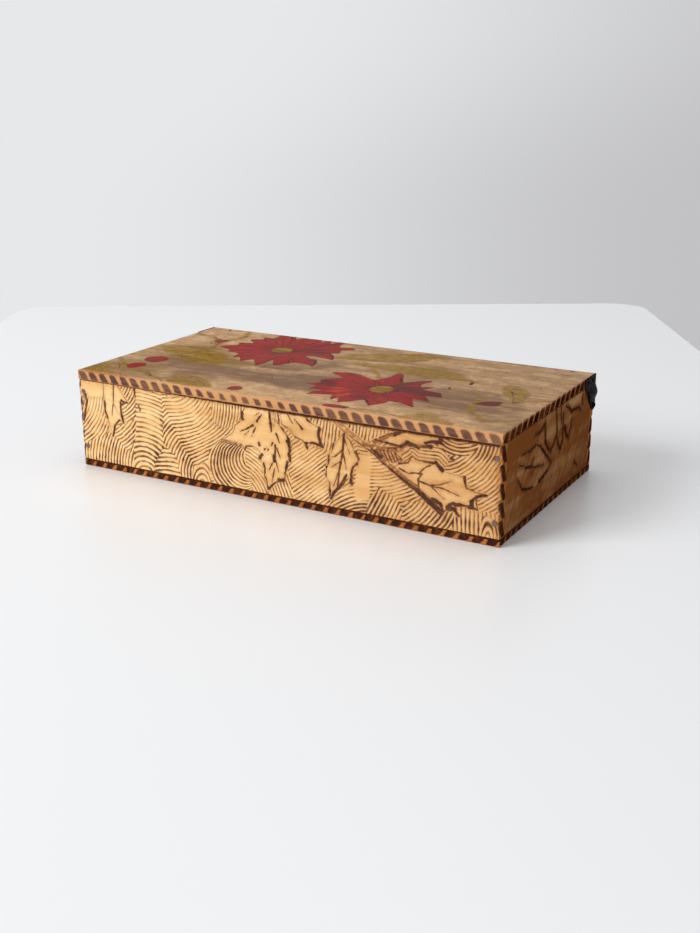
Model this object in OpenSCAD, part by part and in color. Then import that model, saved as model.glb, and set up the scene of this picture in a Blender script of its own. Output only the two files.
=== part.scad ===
// Pyrography box: a long, low box of thin basswood boards, nailed at the corners, with a flat lid.
// The lid turns on two bowed steel ear plates, one on each end, pinned to the back board by a nail.
// Origin: centre of the underside. +X runs along the length, the front faces -Y, +Z is up.

/* [Box] */
// Outside length, left to right
box_length = 292; // [240:1:340]
// Outside depth, front to back
box_depth = 148; // [110:1:180]
// Overall height with the lid closed
box_height = 64.2; // [56:0.1:90]

/* [Boards] */
// Thickness of the front, back and end boards
wall_thick = 6.4; // [5.6:0.1:8]
// Thickness of the base board
base_thick = 4.8; // [4:0.1:6]
// Thickness of the lid board
lid_thick = 6.4; // [5.6:0.1:7]
// How far the back board stops short of the lid, so that the lid's back edge can swing over it
back_drop = 0.5; // [0.4:0.1:1]
// Width of the small flat that eases each outer arris
arris = 0.6; // [0.2:0.1:0.8]

/* [Ear plates] */
// Thickness of the steel sheet
plate_thick = 0.8; // [0.6:0.1:1]
// Width of the plate along the lid's edge
plate_width = 19.6; // [16:0.1:24]
// Height of the plate's front edge before it tapers to the pivot
plate_shoulder = 5; // [3:0.5:6]
// Depth of the pivot below the lid's underside
pivot_drop = 13.3; // [12:0.1:18]
// Distance of the pivot from the back face, which is also the radius of the plate's round tip
pivot_inset = 3.2; // [2.8:0.1:4]
// How far the plate bows away from the end of the box
plate_bow = 1.5; // [0.8:0.1:2]
// Gap between the plate and the end of the box around the pivot
plate_gap = 0.3; // [0.2:0.05:0.5]
// Radius of the plate's hole for the pivot nail
plate_hole_r = 0.85; // [0.82:0.01:0.9]

/* [Rope edge] */
// Distance from one burnt notch to the next along the lid and the base
rope_pitch = 8.2; // [7.5:0.1:12]
// How far a notch leans along the edge, from one face of the board towards the other
rope_lean = 2.8; // [0:0.1:4]
// Width of a lid notch at the lid's lower face
lid_notch_width = 5.4; // [3:0.1:6]
// Depth of a lid notch at the lid's lower face
lid_notch_depth = 0.55; // [0.2:0.05:0.7]
// Plain strip left along the lid's upper face
lid_plain_strip = 1.2; // [0.8:0.1:2]
// Width of a base notch at the base's upper face
base_notch_width = 6.6; // [3:0.1:7]
// Depth of a base notch at the base's upper face
base_notch_depth = 0.7; // [0.2:0.05:0.8]
// Depth of the long notches that run off the upright corners
corner_notch_depth = 0.6; // [0.2:0.05:0.8]
// Number of long notches down a front corner
corner_notches = 5; // [3:1:7]

/* [Nails] */
// Shank radius of the wire nails that hold the boards
nail_r = 0.6; // [0.4:0.05:0.7]
// Head radius of the wire nails
nail_head_r = 1.3; // [1:0.1:1.5]
// Length of the wire nails
nail_length = 19; // [14:1:22]
// Shank radius of the pivot nails
pivot_nail_r = 0.8; // [0.7:0.01:0.81]
// Head radius of the pivot nails
pivot_head_r = 1.9; // [1.5:0.1:2.2]
// Length of a pivot nail below its head
pivot_nail_length = 18; // [12:1:22]
// Shank radius of the tacks that hold a plate to the lid
tack_r = 0.5; // [0.4:0.05:0.6]
// Head radius of the tacks
tack_head_r = 1.3; // [1:0.1:1.5]

/* [Hidden] */
$fn = 48;

// Heights that stack up from the underside
rim_z = box_height - lid_thick;
wall_height = rim_z - base_thick;
half_length = box_length / 2;
half_depth = box_depth / 2;

// The end boards stand between the front and the back board
end_board_depth = box_depth - 2 * wall_thick;

// The hinge line, in the end grain of the back board
pivot_y = half_depth - pivot_inset;
pivot_z = rim_z - pivot_drop;

// Middle planes of the boards, where their nails run
end_mid_x = half_length - wall_thick / 2;
wall_mid_y = half_depth - wall_thick / 2;

// Corner nails: one near the rim and one near the base
corner_nail_z = [base_thick + 8.7, rim_z - 7.8];

// Base nails, as fractions of the half length and the half depth
base_nail_along_front = [-0.78, -0.26, 0.26, 0.78];
base_nail_along_end = [-0.45, 0.45];

// Nail details
nail_head_thick = 0.5;
nail_point = 2.4;
pivot_head_rim = 0.4;
pivot_head_dome = 0.8;
pivot_head_gap = 0.1;
tack_length = 8;
tack_head_rim = 0.2;
tack_head_dome = 0.4;

// Ear plate details: levels of the bends, and the tacks along the lid's edge
plate_flat_top = pivot_z + pivot_inset;
plate_lid_flat = rim_z + 0.5;
plate_crown_z = (plate_flat_top + plate_lid_flat) / 2 - 0.5;
lower_bend = plate_crown_z - plate_flat_top;
upper_bend = plate_lid_flat - plate_crown_z;
bend_steps = 10;
plate_front_y = half_depth - plate_width;
plate_shoulder_z = box_height - plate_shoulder;
tack_y = [plate_front_y + 5.6, half_depth - 5];
tack_z = rim_z + lid_thick / 2;

// Rope edge details
base_notch_fade = 0.3;
corner_notch_width = 2.8;
corner_notch_reach = 4.6;
corner_notch_height = wall_height / corner_notches;

// Colours: raw and varnished basswood, wire nails, and blackened steel
basswood = "burlywood";
shaded_wood = "peru";
lid_wood = "tan";
wire_steel = "gray";
black_steel = "#38332f";

// A rectangle centred on the origin with its corners cut off at 45 degrees
module eased_rectangle(width, height, ease) {
    w = width / 2;
    h = height / 2;
    polygon([
        [-w + ease, -h], [w - ease, -h], [w, -h + ease], [w, h - ease],
        [w - ease, h], [-w + ease, h], [-w, h - ease], [-w, -h + ease]
    ]);
}

// A board centred on Z, standing on its lower face, with every arris eased
module eased_board(length, depth, height, ease = arris) {
    translate([0, 0, height / 2]) intersection() {
        linear_extrude(height + 2, center = true) eased_rectangle(length, depth, ease);
        rotate([90, 0, 0]) linear_extrude(depth + 2, center = true) eased_rectangle(length, height, ease);
        rotate([90, 0, 90]) linear_extrude(length + 2, center = true) eased_rectangle(depth, height, ease);
    }
}

// A wire nail along Z: the top of its flat head is at the origin and its point is below
module wire_nail() {
    shank = nail_length - nail_head_thick - nail_point;
    translate([0, 0, -nail_head_thick]) cylinder(h = nail_head_thick, r = nail_head_r);
    translate([0, 0, -nail_head_thick - shank]) cylinder(h = shank, r = nail_r);
    translate([0, 0, -nail_length]) cylinder(h = nail_point, r1 = 0, r2 = nail_r);
}

// A flat rim with a shallow dome on it, standing on the origin
module domed_head(radius, rim, dome) {
    ball = (radius * radius + dome * dome) / (2 * dome);
    cylinder(h = rim, r = radius);
    intersection() {
        translate([0, 0, rim + dome - ball]) sphere(r = ball);
        translate([0, 0, rim / 2]) cylinder(h = rim + dome, r = radius);
    }
}

// A straight shank along Z that ends in a point, hanging from the origin
module pointed_shank(length, radius, point) {
    translate([0, 0, point - length]) cylinder(h = length - point, r = radius);
    translate([0, 0, -length]) cylinder(h = point, r1 = 0, r2 = radius);
}

// Two wire nails through the front or back board (side -1 or 1) into an end board (end -1 or 1)
module corner_nails(side, end) {
    for (z = corner_nail_z)
        translate([end * end_mid_x, side * half_depth, z]) rotate([side * -90, 0, 0]) wire_nail();
}

// Four wire nails up through the base into the front or back board
module long_base_nails(side) {
    for (f = base_nail_along_front)
        translate([f * half_length, side * wall_mid_y, 0]) rotate([180, 0, 0]) wire_nail();
}

// Two wire nails up through the base into an end board
module end_base_nails(end) {
    for (f = base_nail_along_end)
        translate([end * end_mid_x, f * half_depth, 0]) rotate([180, 0, 0]) wire_nail();
}

// Mirrors what is drawn for the right end to the left end
module at_end(end) {
    if (end > 0) children();
    else mirror([1, 0, 0]) children();
}

// Mirrors what is drawn for the front to the back
module at_side(side) {
    if (side < 0) children();
    else mirror([0, 1, 0]) children();
}

// The cutter for one burnt notch in a face at y = 0 that looks towards -y: a round trough that
// starts deep at z = 0, leans along x as it rises, and is down to its fade depth at its height
module notch(width, depth, fade, height, lean) {
    radius = (width * width / 4 + depth * depth) / (2 * depth);
    run = [lean, fade - depth, height];
    over = 2 * rope_pitch;
    translate([-lean / 2, depth - radius, 0])
        rotate([asin((depth - fade) / norm(run)), atan2(lean, height), 0])
            translate([0, 0, -over]) cylinder(h = norm(run) + 2 * over, r = radius);
}

// Spreads a cutter evenly along x from one place to another, as near to the rope's pitch as fits
module along_rope(from, to) {
    count = floor((to - from) / rope_pitch);
    for (i = [0:count - 1]) translate([from + (i + 0.5) * (to - from) / count, 0, 0]) children();
}

// Lid notches are deepest at the lid's lower face and fade out below the plain strip
module lid_notch(lean) {
    translate([0, 0, rim_z])
        notch(lid_notch_width, lid_notch_depth, 0, lid_thick - lid_plain_strip, lean);
}

// Base notches are deepest at the base's upper face, under the walls
module base_notch(lean) {
    translate([0, 0, base_thick]) mirror([0, 0, 1])
        notch(base_notch_width, base_notch_depth, base_notch_fade, base_thick, lean);
}

// Lid notches along the front edge, and along an end edge as far back as the ear plate
module lid_rope() {
    for (side = [-1, 1]) at_side(side) translate([0, -half_depth, 0])
        along_rope(-half_length, half_length) lid_notch(-rope_lean);
    for (end = [-1, 1]) at_end(end) translate([half_length, 0, 0]) rotate([0, 0, 90])
        along_rope(-half_depth, plate_front_y) lid_notch(rope_lean);
}

// Base notches all round
module base_rope() {
    for (side = [-1, 1]) at_side(side) translate([0, -half_depth, 0])
        along_rope(-half_length, half_length) base_notch(-rope_lean);
    for (end = [-1, 1]) at_end(end) translate([half_length, 0, 0]) rotate([0, 0, 90])
        along_rope(-half_depth, half_depth) base_notch(-rope_lean);
}

// Long notches that run off a corner onto the end grain of the front (side -1) or back (side 1) board.
// On the back board they stop below the ear plate's pivot.
module corner_rope(side) {
    highest = side < 0 ? rim_z : pivot_z - pivot_inset;
    for (end = [-1, 1], i = [1:corner_notches]) {
        top = base_thick + i * corner_notch_height;
        if (top <= highest + 0.001) at_end(end) at_side(side)
            translate([half_length, corner_notch_reach / 2 - half_depth, top]) rotate([0, 0, 90]) mirror([0, 0, 1])
                notch(corner_notch_width, corner_notch_depth, 0, corner_notch_height, corner_notch_reach);
    }
}

// The pivot nail of the right end: its head stands off the plate and its shank is in the back board
module pivot_nail() {
    head_x = half_length + plate_gap + plate_thick + pivot_head_gap;
    translate([head_x, pivot_y, pivot_z]) rotate([0, 90, 0]) {
        domed_head(pivot_head_r, pivot_head_rim, pivot_head_dome);
        pointed_shank(pivot_nail_length, pivot_nail_r, nail_point);
    }
}

// The two tacks of the right end, through the plate into the lid's end grain
module plate_tacks() {
    for (y = tack_y)
        translate([half_length + plate_thick, y, tack_z]) rotate([0, 90, 0]) {
            domed_head(tack_head_r, tack_head_rim, tack_head_dome);
            pointed_shank(tack_length, tack_r, nail_point);
        }
}

// The middle of the sheet, as a distance out from the end of the box, and its slope, at a height.
// The sheet lies flat around the pivot, swells out to the crown and comes in flat on the lid's edge.
function swell(t) = (1 - cos(180 * t)) / 2;
function swell_slope(t) = PI / 2 * sin(180 * t);
function below_crown(z) = max(0, (z - plate_flat_top) / lower_bend);
function above_crown(z) = max(0, (plate_lid_flat - z) / upper_bend);
function sheet_middle(z) = plate_thick / 2 + (
    z <= plate_crown_z
        ? plate_gap + (plate_bow - plate_gap) * swell(below_crown(z))
        : plate_bow * swell(above_crown(z))
);
function sheet_slope(z) =
    z <= plate_crown_z
        ? (plate_bow - plate_gap) * swell_slope(below_crown(z)) / lower_bend
        : -plate_bow * swell_slope(above_crown(z)) / upper_bend;

// A point on the inner (-1) or outer (1) face of the sheet, square to its middle line
function sheet_face(z, side) =
    let (across = [1, -sheet_slope(z)])
    [sheet_middle(z), z] + side * plate_thick / 2 * across / norm(across);

// Side profile of the right plate: the first coordinate is the distance out from the end of the box
module plate_profile() {
    levels = [
        pivot_z - pivot_inset,
        for (i = [0:bend_steps]) plate_flat_top + i * lower_bend / bend_steps,
        for (i = [1:bend_steps]) plate_crown_z + i * upper_bend / bend_steps,
        box_height
    ];
    inner = [for (z = levels) sheet_face(z, -1)];
    outer = [for (i = [len(levels) - 1:-1:0]) sheet_face(levels[i], 1)];
    polygon(concat(inner, outer));
}

// Outline of the plate seen from the end: y is the first coordinate and z is the second.
// The front edge drops to the shoulder, then runs straight to the round tip, tangent to it.
module plate_outline() {
    shoulder = [plate_front_y, plate_shoulder_z];
    pivot = [pivot_y, pivot_z];
    run = pivot - shoulder;
    slope = atan2(run[1], run[0]) - asin(pivot_inset / norm(run));
    reach = sqrt(run * run - pivot_inset * pivot_inset);
    touch = shoulder + reach * [cos(slope), sin(slope)];
    translate(pivot) circle(r = pivot_inset);
    polygon([shoulder, touch, pivot, [half_depth, pivot_z], [half_depth, box_height], [plate_front_y, box_height]]);
}

// The right ear plate: the bowed sheet cut to its outline, with its pivot hole and tack holes
module ear_plate() {
    difference() {
        intersection() {
            translate([half_length, half_depth + 1, 0]) rotate([90, 0, 0])
                linear_extrude(plate_width + 2) plate_profile();
            translate([half_length - 1, 0, 0]) rotate([90, 0, 90])
                linear_extrude(plate_bow + plate_thick + 2) plate_outline();
        }
        translate([half_length - 1, pivot_y, pivot_z]) rotate([0, 90, 0])
            cylinder(h = plate_thick + 3, r = plate_hole_r);
        for (y = tack_y)
            translate([half_length - 1, y, tack_z]) rotate([0, 90, 0])
                cylinder(h = plate_thick + 3, r = tack_r);
    }
}

// The flat lid, notched along its edges and drilled in both end edges for the tacks
module lid_board() {
    color(lid_wood) difference() {
        translate([0, 0, rim_z]) eased_board(box_length, box_depth, lid_thick);
        lid_rope();
        for (end = [-1, 1]) at_end(end) plate_tacks();
    }
}

module front_board() {
    color(basswood) difference() {
        translate([0, -wall_mid_y, base_thick]) eased_board(box_length, wall_thick, wall_height, arris / 2);
        corner_rope(-1);
        for (end = [-1, 1]) corner_nails(-1, end);
        long_base_nails(-1);
    }
}

// The back board stops short of the lid and holds the two pivot nails in its end grain
module back_board() {
    color(basswood) difference() {
        translate([0, wall_mid_y, base_thick])
            eased_board(box_length, wall_thick, wall_height - back_drop, arris / 2);
        corner_rope(1);
        for (end = [-1, 1]) corner_nails(1, end);
        for (end = [-1, 1]) at_end(end) pivot_nail();
        long_base_nails(1);
    }
}

// An end board, butted between the front and the back board
module end_board(end) {
    difference() {
        translate([end * end_mid_x, 0, base_thick + wall_height / 2])
            cube([wall_thick, end_board_depth, wall_height], center = true);
        for (side = [-1, 1]) corner_nails(side, end);
        end_base_nails(end);
    }
}

module left_end_board() {
    color(shaded_wood) end_board(-1);
}

module right_end_board() {
    color(shaded_wood) end_board(1);
}

// The base covers the lower edges of all four walls
module base_board() {
    color(basswood) difference() {
        eased_board(box_length, box_depth, base_thick);
        base_rope();
        for (side = [-1, 1]) long_base_nails(side);
        for (end = [-1, 1]) end_base_nails(end);
    }
}

module left_hinge_plate() {
    color(black_steel) at_end(-1) ear_plate();
}

module right_hinge_plate() {
    color(black_steel) at_end(1) ear_plate();
}

module left_hinge_tacks() {
    color(black_steel) at_end(-1) plate_tacks();
}

module right_hinge_tacks() {
    color(black_steel) at_end(1) plate_tacks();
}

module left_pivot_nail() {
    color(black_steel) at_end(-1) pivot_nail();
}

module right_pivot_nail() {
    color(black_steel) at_end(1) pivot_nail();
}

module front_nails_left() {
    color(wire_steel) corner_nails(-1, -1);
}

module front_nails_right() {
    color(wire_steel) corner_nails(-1, 1);
}

module back_nails_left() {
    color(wire_steel) corner_nails(1, -1);
}

module back_nails_right() {
    color(wire_steel) corner_nails(1, 1);
}

module base_nails_front() {
    color(wire_steel) long_base_nails(-1);
}

module base_nails_back() {
    color(wire_steel) long_base_nails(1);
}

module base_nails_left() {
    color(wire_steel) end_base_nails(-1);
}

module base_nails_right() {
    color(wire_steel) end_base_nails(1);
}

lid_board();
front_board();
back_board();
left_end_board();
right_end_board();
base_board();
left_hinge_plate();
right_hinge_plate();
left_hinge_tacks();
right_hinge_tacks();
left_pivot_nail();
right_pivot_nail();
front_nails_left();
front_nails_right();
back_nails_left();
back_nails_right();
base_nails_front();
base_nails_back();
base_nails_left();
base_nails_right();
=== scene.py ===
import logging
import math
from dataclasses import dataclass, field, replace
from enum import Enum
from typing import Iterable

import bmesh
import bpy
import numpy as np
from mathutils import Matrix, Vector

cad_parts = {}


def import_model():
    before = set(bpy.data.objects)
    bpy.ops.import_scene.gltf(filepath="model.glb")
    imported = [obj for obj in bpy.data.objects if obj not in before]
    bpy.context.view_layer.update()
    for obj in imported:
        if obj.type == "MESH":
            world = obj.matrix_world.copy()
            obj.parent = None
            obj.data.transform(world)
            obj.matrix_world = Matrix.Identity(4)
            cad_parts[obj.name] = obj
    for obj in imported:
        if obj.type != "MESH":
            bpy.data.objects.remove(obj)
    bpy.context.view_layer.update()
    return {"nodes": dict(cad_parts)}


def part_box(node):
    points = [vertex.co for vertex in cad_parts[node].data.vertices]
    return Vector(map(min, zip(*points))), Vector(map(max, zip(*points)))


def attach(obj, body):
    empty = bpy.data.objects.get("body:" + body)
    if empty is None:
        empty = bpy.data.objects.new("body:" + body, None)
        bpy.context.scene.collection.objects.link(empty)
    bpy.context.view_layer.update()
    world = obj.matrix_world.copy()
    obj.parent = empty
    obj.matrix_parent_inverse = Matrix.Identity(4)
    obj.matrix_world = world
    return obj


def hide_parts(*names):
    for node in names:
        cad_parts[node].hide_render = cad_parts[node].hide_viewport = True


log = logging.getLogger("pyrography_box")

MM = 0.001
FAR = 6.0

# Measures of the box in the record's frame, in millimetres
BASE_TOP = 4.8
RIM = 57.8
HALF_LENGTH = 146
HALF_DEPTH = 74
EAR_PLATE_FRONT = 54.4

# The angle above which two faces meet in a sharp edge
SHARP = math.radians(40)

# What each number of a board's mesh is where nothing is drawn
NOT_DRAWN = {
    "ink": FAR, "rope": FAR, "red": FAR, "petal": FAR, "olive": FAR, "heart": FAR,
    "echo_turn": 1.0, "echo_swing": 0.0, "echo_press": -3.0,
    "wash": 0.0, "stain_and_shade": 0.0, "edge": 0.0, "tint": 0.0, "worn": 0.0,
}

Marks = list[tuple[float, ...]]
Fields = dict[str, np.ndarray]
Colour = tuple[int, int, int]


# Pens: the drawing is laid out in millimetres on a face, x to the right and y down


def bent(marks: Marks, closed: bool = False) -> np.ndarray:
    """Follows given marks.

    Args:
        marks: Points (x, y) or (x, y, sag). A sag bends the stretch up to the next mark to the
            right of the pen's travel, by that share of the stretch.
        closed: Whether the line runs back to its first mark.

    Returns:
        The points of the line, with each bent stretch as short chords.
    """
    chords = 5
    steps = np.linspace(0, 1, chords + 1)[:-1, None]
    stops = marks[1:] + marks[:1] if closed else marks[1:]
    parts = []
    for mark, stop in zip(marks, stops):
        start, end = np.array(mark[:2]), np.array(stop[:2])
        sag = mark[2] if len(mark) > 2 else 0.0
        if not sag:
            parts.append(start[None])
            continue
        run = end - start
        middle = (start + end) / 2 + 2 * sag * np.array([-run[1], run[0]])
        parts.append((1 - steps) ** 2 * start + 2 * steps * (1 - steps) * middle + steps**2 * end)
    if not closed:
        parts.append(np.array(marks[-1][:2])[None])
    return np.concatenate(parts)


def moved(marks: Marks, x: float, y: float, turn: float = 0.0, flip: bool = False) -> Marks:
    """Moves marks on the face.

    Args:
        marks: The marks to move, which stay as they are.
        x: Distance to the right.
        y: Distance down.
        turn: Clockwise turn about the first mark, in degrees, made before the move.
        flip: Whether the marks are first mirrored left to right about the first mark.

    Returns:
        The moved marks.
    """
    cos, sin = math.cos(math.radians(turn)), math.sin(math.radians(turn))
    first = marks[0]
    out = []
    for mark in marks:
        across, down = mark[0] - first[0], mark[1] - first[1]
        across = -across if flip else across
        place = (first[0] + x + across * cos - down * sin, first[1] + y + across * sin + down * cos)
        sag = tuple(-s if flip else s for s in mark[2:])
        out.append(place + sag)
    return out


def cloud(x: np.ndarray, y: np.ndarray, size: float, seed: int) -> np.ndarray:
    """Smooth noise, the same each time for the same seed.

    Args:
        x: Places across.
        y: Places down.
        size: Width of a patch, in the same unit as the places.
        seed: Picks one pattern out of many.

    Returns:
        A value from -1 to 1 at each place.
    """
    cells = 64
    table = np.random.default_rng(seed).uniform(-1, 1, (cells, cells))
    across, down = x / size, y / size
    i, j = np.floor(across).astype(int), np.floor(down).astype(int)
    a, b = across - i, down - j
    a, b = a * a * (3 - 2 * a), b * b * (3 - 2 * b)
    i, j, right, below = i % cells, j % cells, (i + 1) % cells, (j + 1) % cells
    low = table[i, j] * (1 - a) + table[right, j] * a
    high = table[i, below] * (1 - a) + table[right, below] * a
    return low * (1 - b) + high * b


def ease(value: np.ndarray, low: float, high: float) -> np.ndarray:
    """Runs smoothly from 0 at low to 1 at high, where low may be the greater."""
    share = np.clip((value - low) / (high - low), 0, 1)
    return share * share * (3 - 2 * share)


class Face:
    """Places on a flat face, and how far they are from what is drawn on it."""

    def __init__(self, x: np.ndarray, y: np.ndarray) -> None:
        """Takes the places, x to the right and y down, in millimetres."""
        self.x = x
        self.y = y

    def cloud(self, size: float, seed: int) -> np.ndarray:
        """Smooth noise on the face, from -1 to 1."""
        return cloud(self.x, self.y, size, seed)

    def unsteady(self, amount: float, seed: int) -> "Face":
        """The face as an unsteady hand draws on it, off its place by up to that many millimetres."""
        right = self.cloud(7, seed) + 0.5 * self.cloud(2.2, seed + 1)
        down = self.cloud(7, seed + 2) + 0.5 * self.cloud(2.2, seed + 3)
        return Face(self.x + amount * right, self.y + amount * down)

    def shifted(self, x: float, y: float) -> "Face":
        """The face under a drawing that is moved right and down."""
        return Face(self.x - x, self.y - y)

    def _along(
        self, line: np.ndarray, closed: bool, start: float = 0.0, end: float = 0.0
    ) -> tuple[np.ndarray, np.ndarray]:
        """Distance from the edge of a line that changes width, and whether a place is inside it."""
        best = np.full(self.x.shape, 1e3)
        inside = np.zeros(self.x.shape, bool)
        ends = np.roll(line, -1, axis=0) if closed else line[1:]
        lengths = np.linalg.norm(ends - line[: len(ends)], axis=1)
        reach = np.concatenate([[0], np.cumsum(lengths)]) / max(lengths.sum(), 1e-9)
        for i, (a, b) in enumerate(zip(line, ends)):
            run = b - a
            t = ((self.x - a[0]) * run[0] + (self.y - a[1]) * run[1]) / max(run @ run, 1e-9)
            t = np.clip(t, 0, 1)
            away = np.hypot(self.x - a[0] - t * run[0], self.y - a[1] - t * run[1])
            if start or end:
                away -= (start + (end - start) * (reach[i] + t * (reach[i + 1] - reach[i]))) / 2
            best = np.minimum(best, away)
            if closed:
                crosses = (a[1] > self.y) != (b[1] > self.y)
                drop = run[1] if abs(run[1]) > 1e-9 else 1e-9
                inside ^= crosses & (self.x < a[0] + run[0] * (self.y - a[1]) / drop)
        return best, inside

    def stroke(self, marks: Marks, start: float = 0.0, end: float = 0.0) -> np.ndarray:
        """Distance from the edge of a stroke that goes from one width to another."""
        return self._along(bent(marks), False, start, end)[0]

    def patch(self, marks: Marks) -> np.ndarray:
        """Distance from a closed outline, negative inside it."""
        away, inside = self._along(bent(marks, True), True)
        return np.where(inside, -away, away)

    def within(self, marks: Marks) -> np.ndarray:
        """Whether a place is inside a closed outline."""
        return self._along(bent(marks, True), True)[1]

    def ring(self, x: float, y: float, wide: float = 1.0, tall: float = 1.0) -> np.ndarray:
        """Distance from a point, measured more coarsely across or down if wide or tall is above 1."""
        return np.hypot((self.x - x) / wide, (self.y - y) / tall)

    def drifting(
        self, x: float, y: float, radius: float, drift: tuple[float, float], growth: float
    ) -> np.ndarray:
        """Counts rings whose middle drifts and whose radius grows from one to the next.

        Args:
            x: Place of the first ring's middle across.
            y: Its place down.
            radius: The first ring's radius.
            drift: How far the middle moves from one ring to the next, right and down.
            growth: How much the radius grows.

        Returns:
            Which ring passes through each place.
        """
        across, down = self.x - x, self.y - y
        slant = drift[0] ** 2 + drift[1] ** 2 - growth**2
        half = across * drift[0] + down * drift[1] + radius * growth
        rest = across**2 + down**2 - radius**2
        return (half - np.sqrt(np.maximum(half**2 - slant * rest, 0))) / slant

    def rays(self, degrees: float) -> np.ndarray:
        """Distance across upright lines that lean by an angle, whose level lines are parallel."""
        lean = math.radians(degrees)
        return self.x * math.cos(lean) + self.y * math.sin(lean)

    def patches(self, outlines: Iterable[Marks]) -> np.ndarray:
        """Distance from the nearest of several closed outlines."""
        return np.minimum.reduce([self.patch(marks) for marks in outlines])

    def strokes(self, strokes: Iterable[tuple[Marks, float, float]]) -> np.ndarray:
        """Distance from the nearest of several strokes."""
        return np.minimum.reduce([self.stroke(*stroke) for stroke in strokes])


# The leaves and veins of the front. Each outline runs clockwise from its upper left

HANGING_LEAF = [
    (20, 12), (20.3, -2), (30, -2), (39.3, 10.6, 0.12), (33.6, 13), (33.4, 20), (35.4, 24.6, 0.1),
    (30.5, 23.4), (27.4, 28, 0.05), (25.3, 35, 0.05), (23.6, 28.5), (21.6, 22, 0.05), (20.2, 18),
]
BIG_LEAF = [
    (130, -2), (151, -2), (152, 8, 0.02), (158.5, 15.5), (160.6, 20.5, 0.12), (158.6, 24.5, 0.05),
    (160.2, 29.6, 0.1), (156.8, 31.5, 0.05), (156.4, 37, 0.05), (155.2, 42, 0.12), (150.6, 43.6, 0.05),
    (143.4, 50, 0.05), (142.6, 44.5), (141, 41), (141.2, 36.5), (139.6, 33, 0.05), (137.6, 31.2, 0.1),
    (139.4, 29.2, 0.1), (134, 24.4, 0.05), (128.4, 25.2), (127, 27.6, 0.15), (125.4, 24.4, -0.02),
    (110.4, 23.8, 0.05), (119.4, 18.2, 0.1), (120.6, 13.8), (126, 9.5), (126.6, 5.4),
]
SHORT_LEAF = [
    (153.5, -2), (169, -2), (172, 3.2, 0.05), (180.6, 6.6, 0.08), (178.4, 11.5, 0.04), (182.5, 18.4, 0.1),
    (175, 16), (170.5, 17.2, 0.08), (167, 15), (162.5, 13.8), (160, 10.5), (154, 7.5),
]
NARROW_LEAF = [
    (195.5, 7.5), (200, 11), (202.4, 16.6, 0.06), (205.8, 21.6, 0.08), (202.4, 26.4, 0.03), (201.6, 32.6),
    (200, 37.2, 0.08), (197.4, 32), (195, 38), (191.6, 41, 0.03), (187, 48.6, 0.04), (186.2, 38.5),
    (184, 35.2), (184.4, 29), (187, 24.4, 0.06), (184.6, 21.8, 0.06), (188, 19), (190.6, 14),
]
RIM_LEAF = [
    (221, 7.4, -0.04), (238, -2), (256, -2), (254.6, 3.4, 0.1), (247.6, 4.4, 0.1), (248.6, 7.2, 0.1),
    (241.4, 7.6, 0.1), (236.4, 6.4, 0.08), (232, 9.6, -0.03),
]
LOBED_LEAF = [
    (228, 21.6, 0.06), (239, 13.8, 0.08), (243, 16), (254, 15.2, -0.06), (258.4, 19.8, 0.04), (266.6, 20.4),
    (270.6, 21.6, 0.06), (271.4, 25.6, 0.04), (274.4, 28.4), (282.4, 28.8, 0.12), (277.2, 32, 0.05),
    (279, 38.6, 0.12), (272, 36.8), (264.8, 38, 0.05), (267.6, 44.6, 0.1), (261, 40.2), (258, 43.6, 0.02),
    (250, 37.6), (243, 32), (234, 26.6),
]
FRONT_LEAVES = [HANGING_LEAF, BIG_LEAF, SHORT_LEAF, NARROW_LEAF, RIM_LEAF, LOBED_LEAF]

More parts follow.
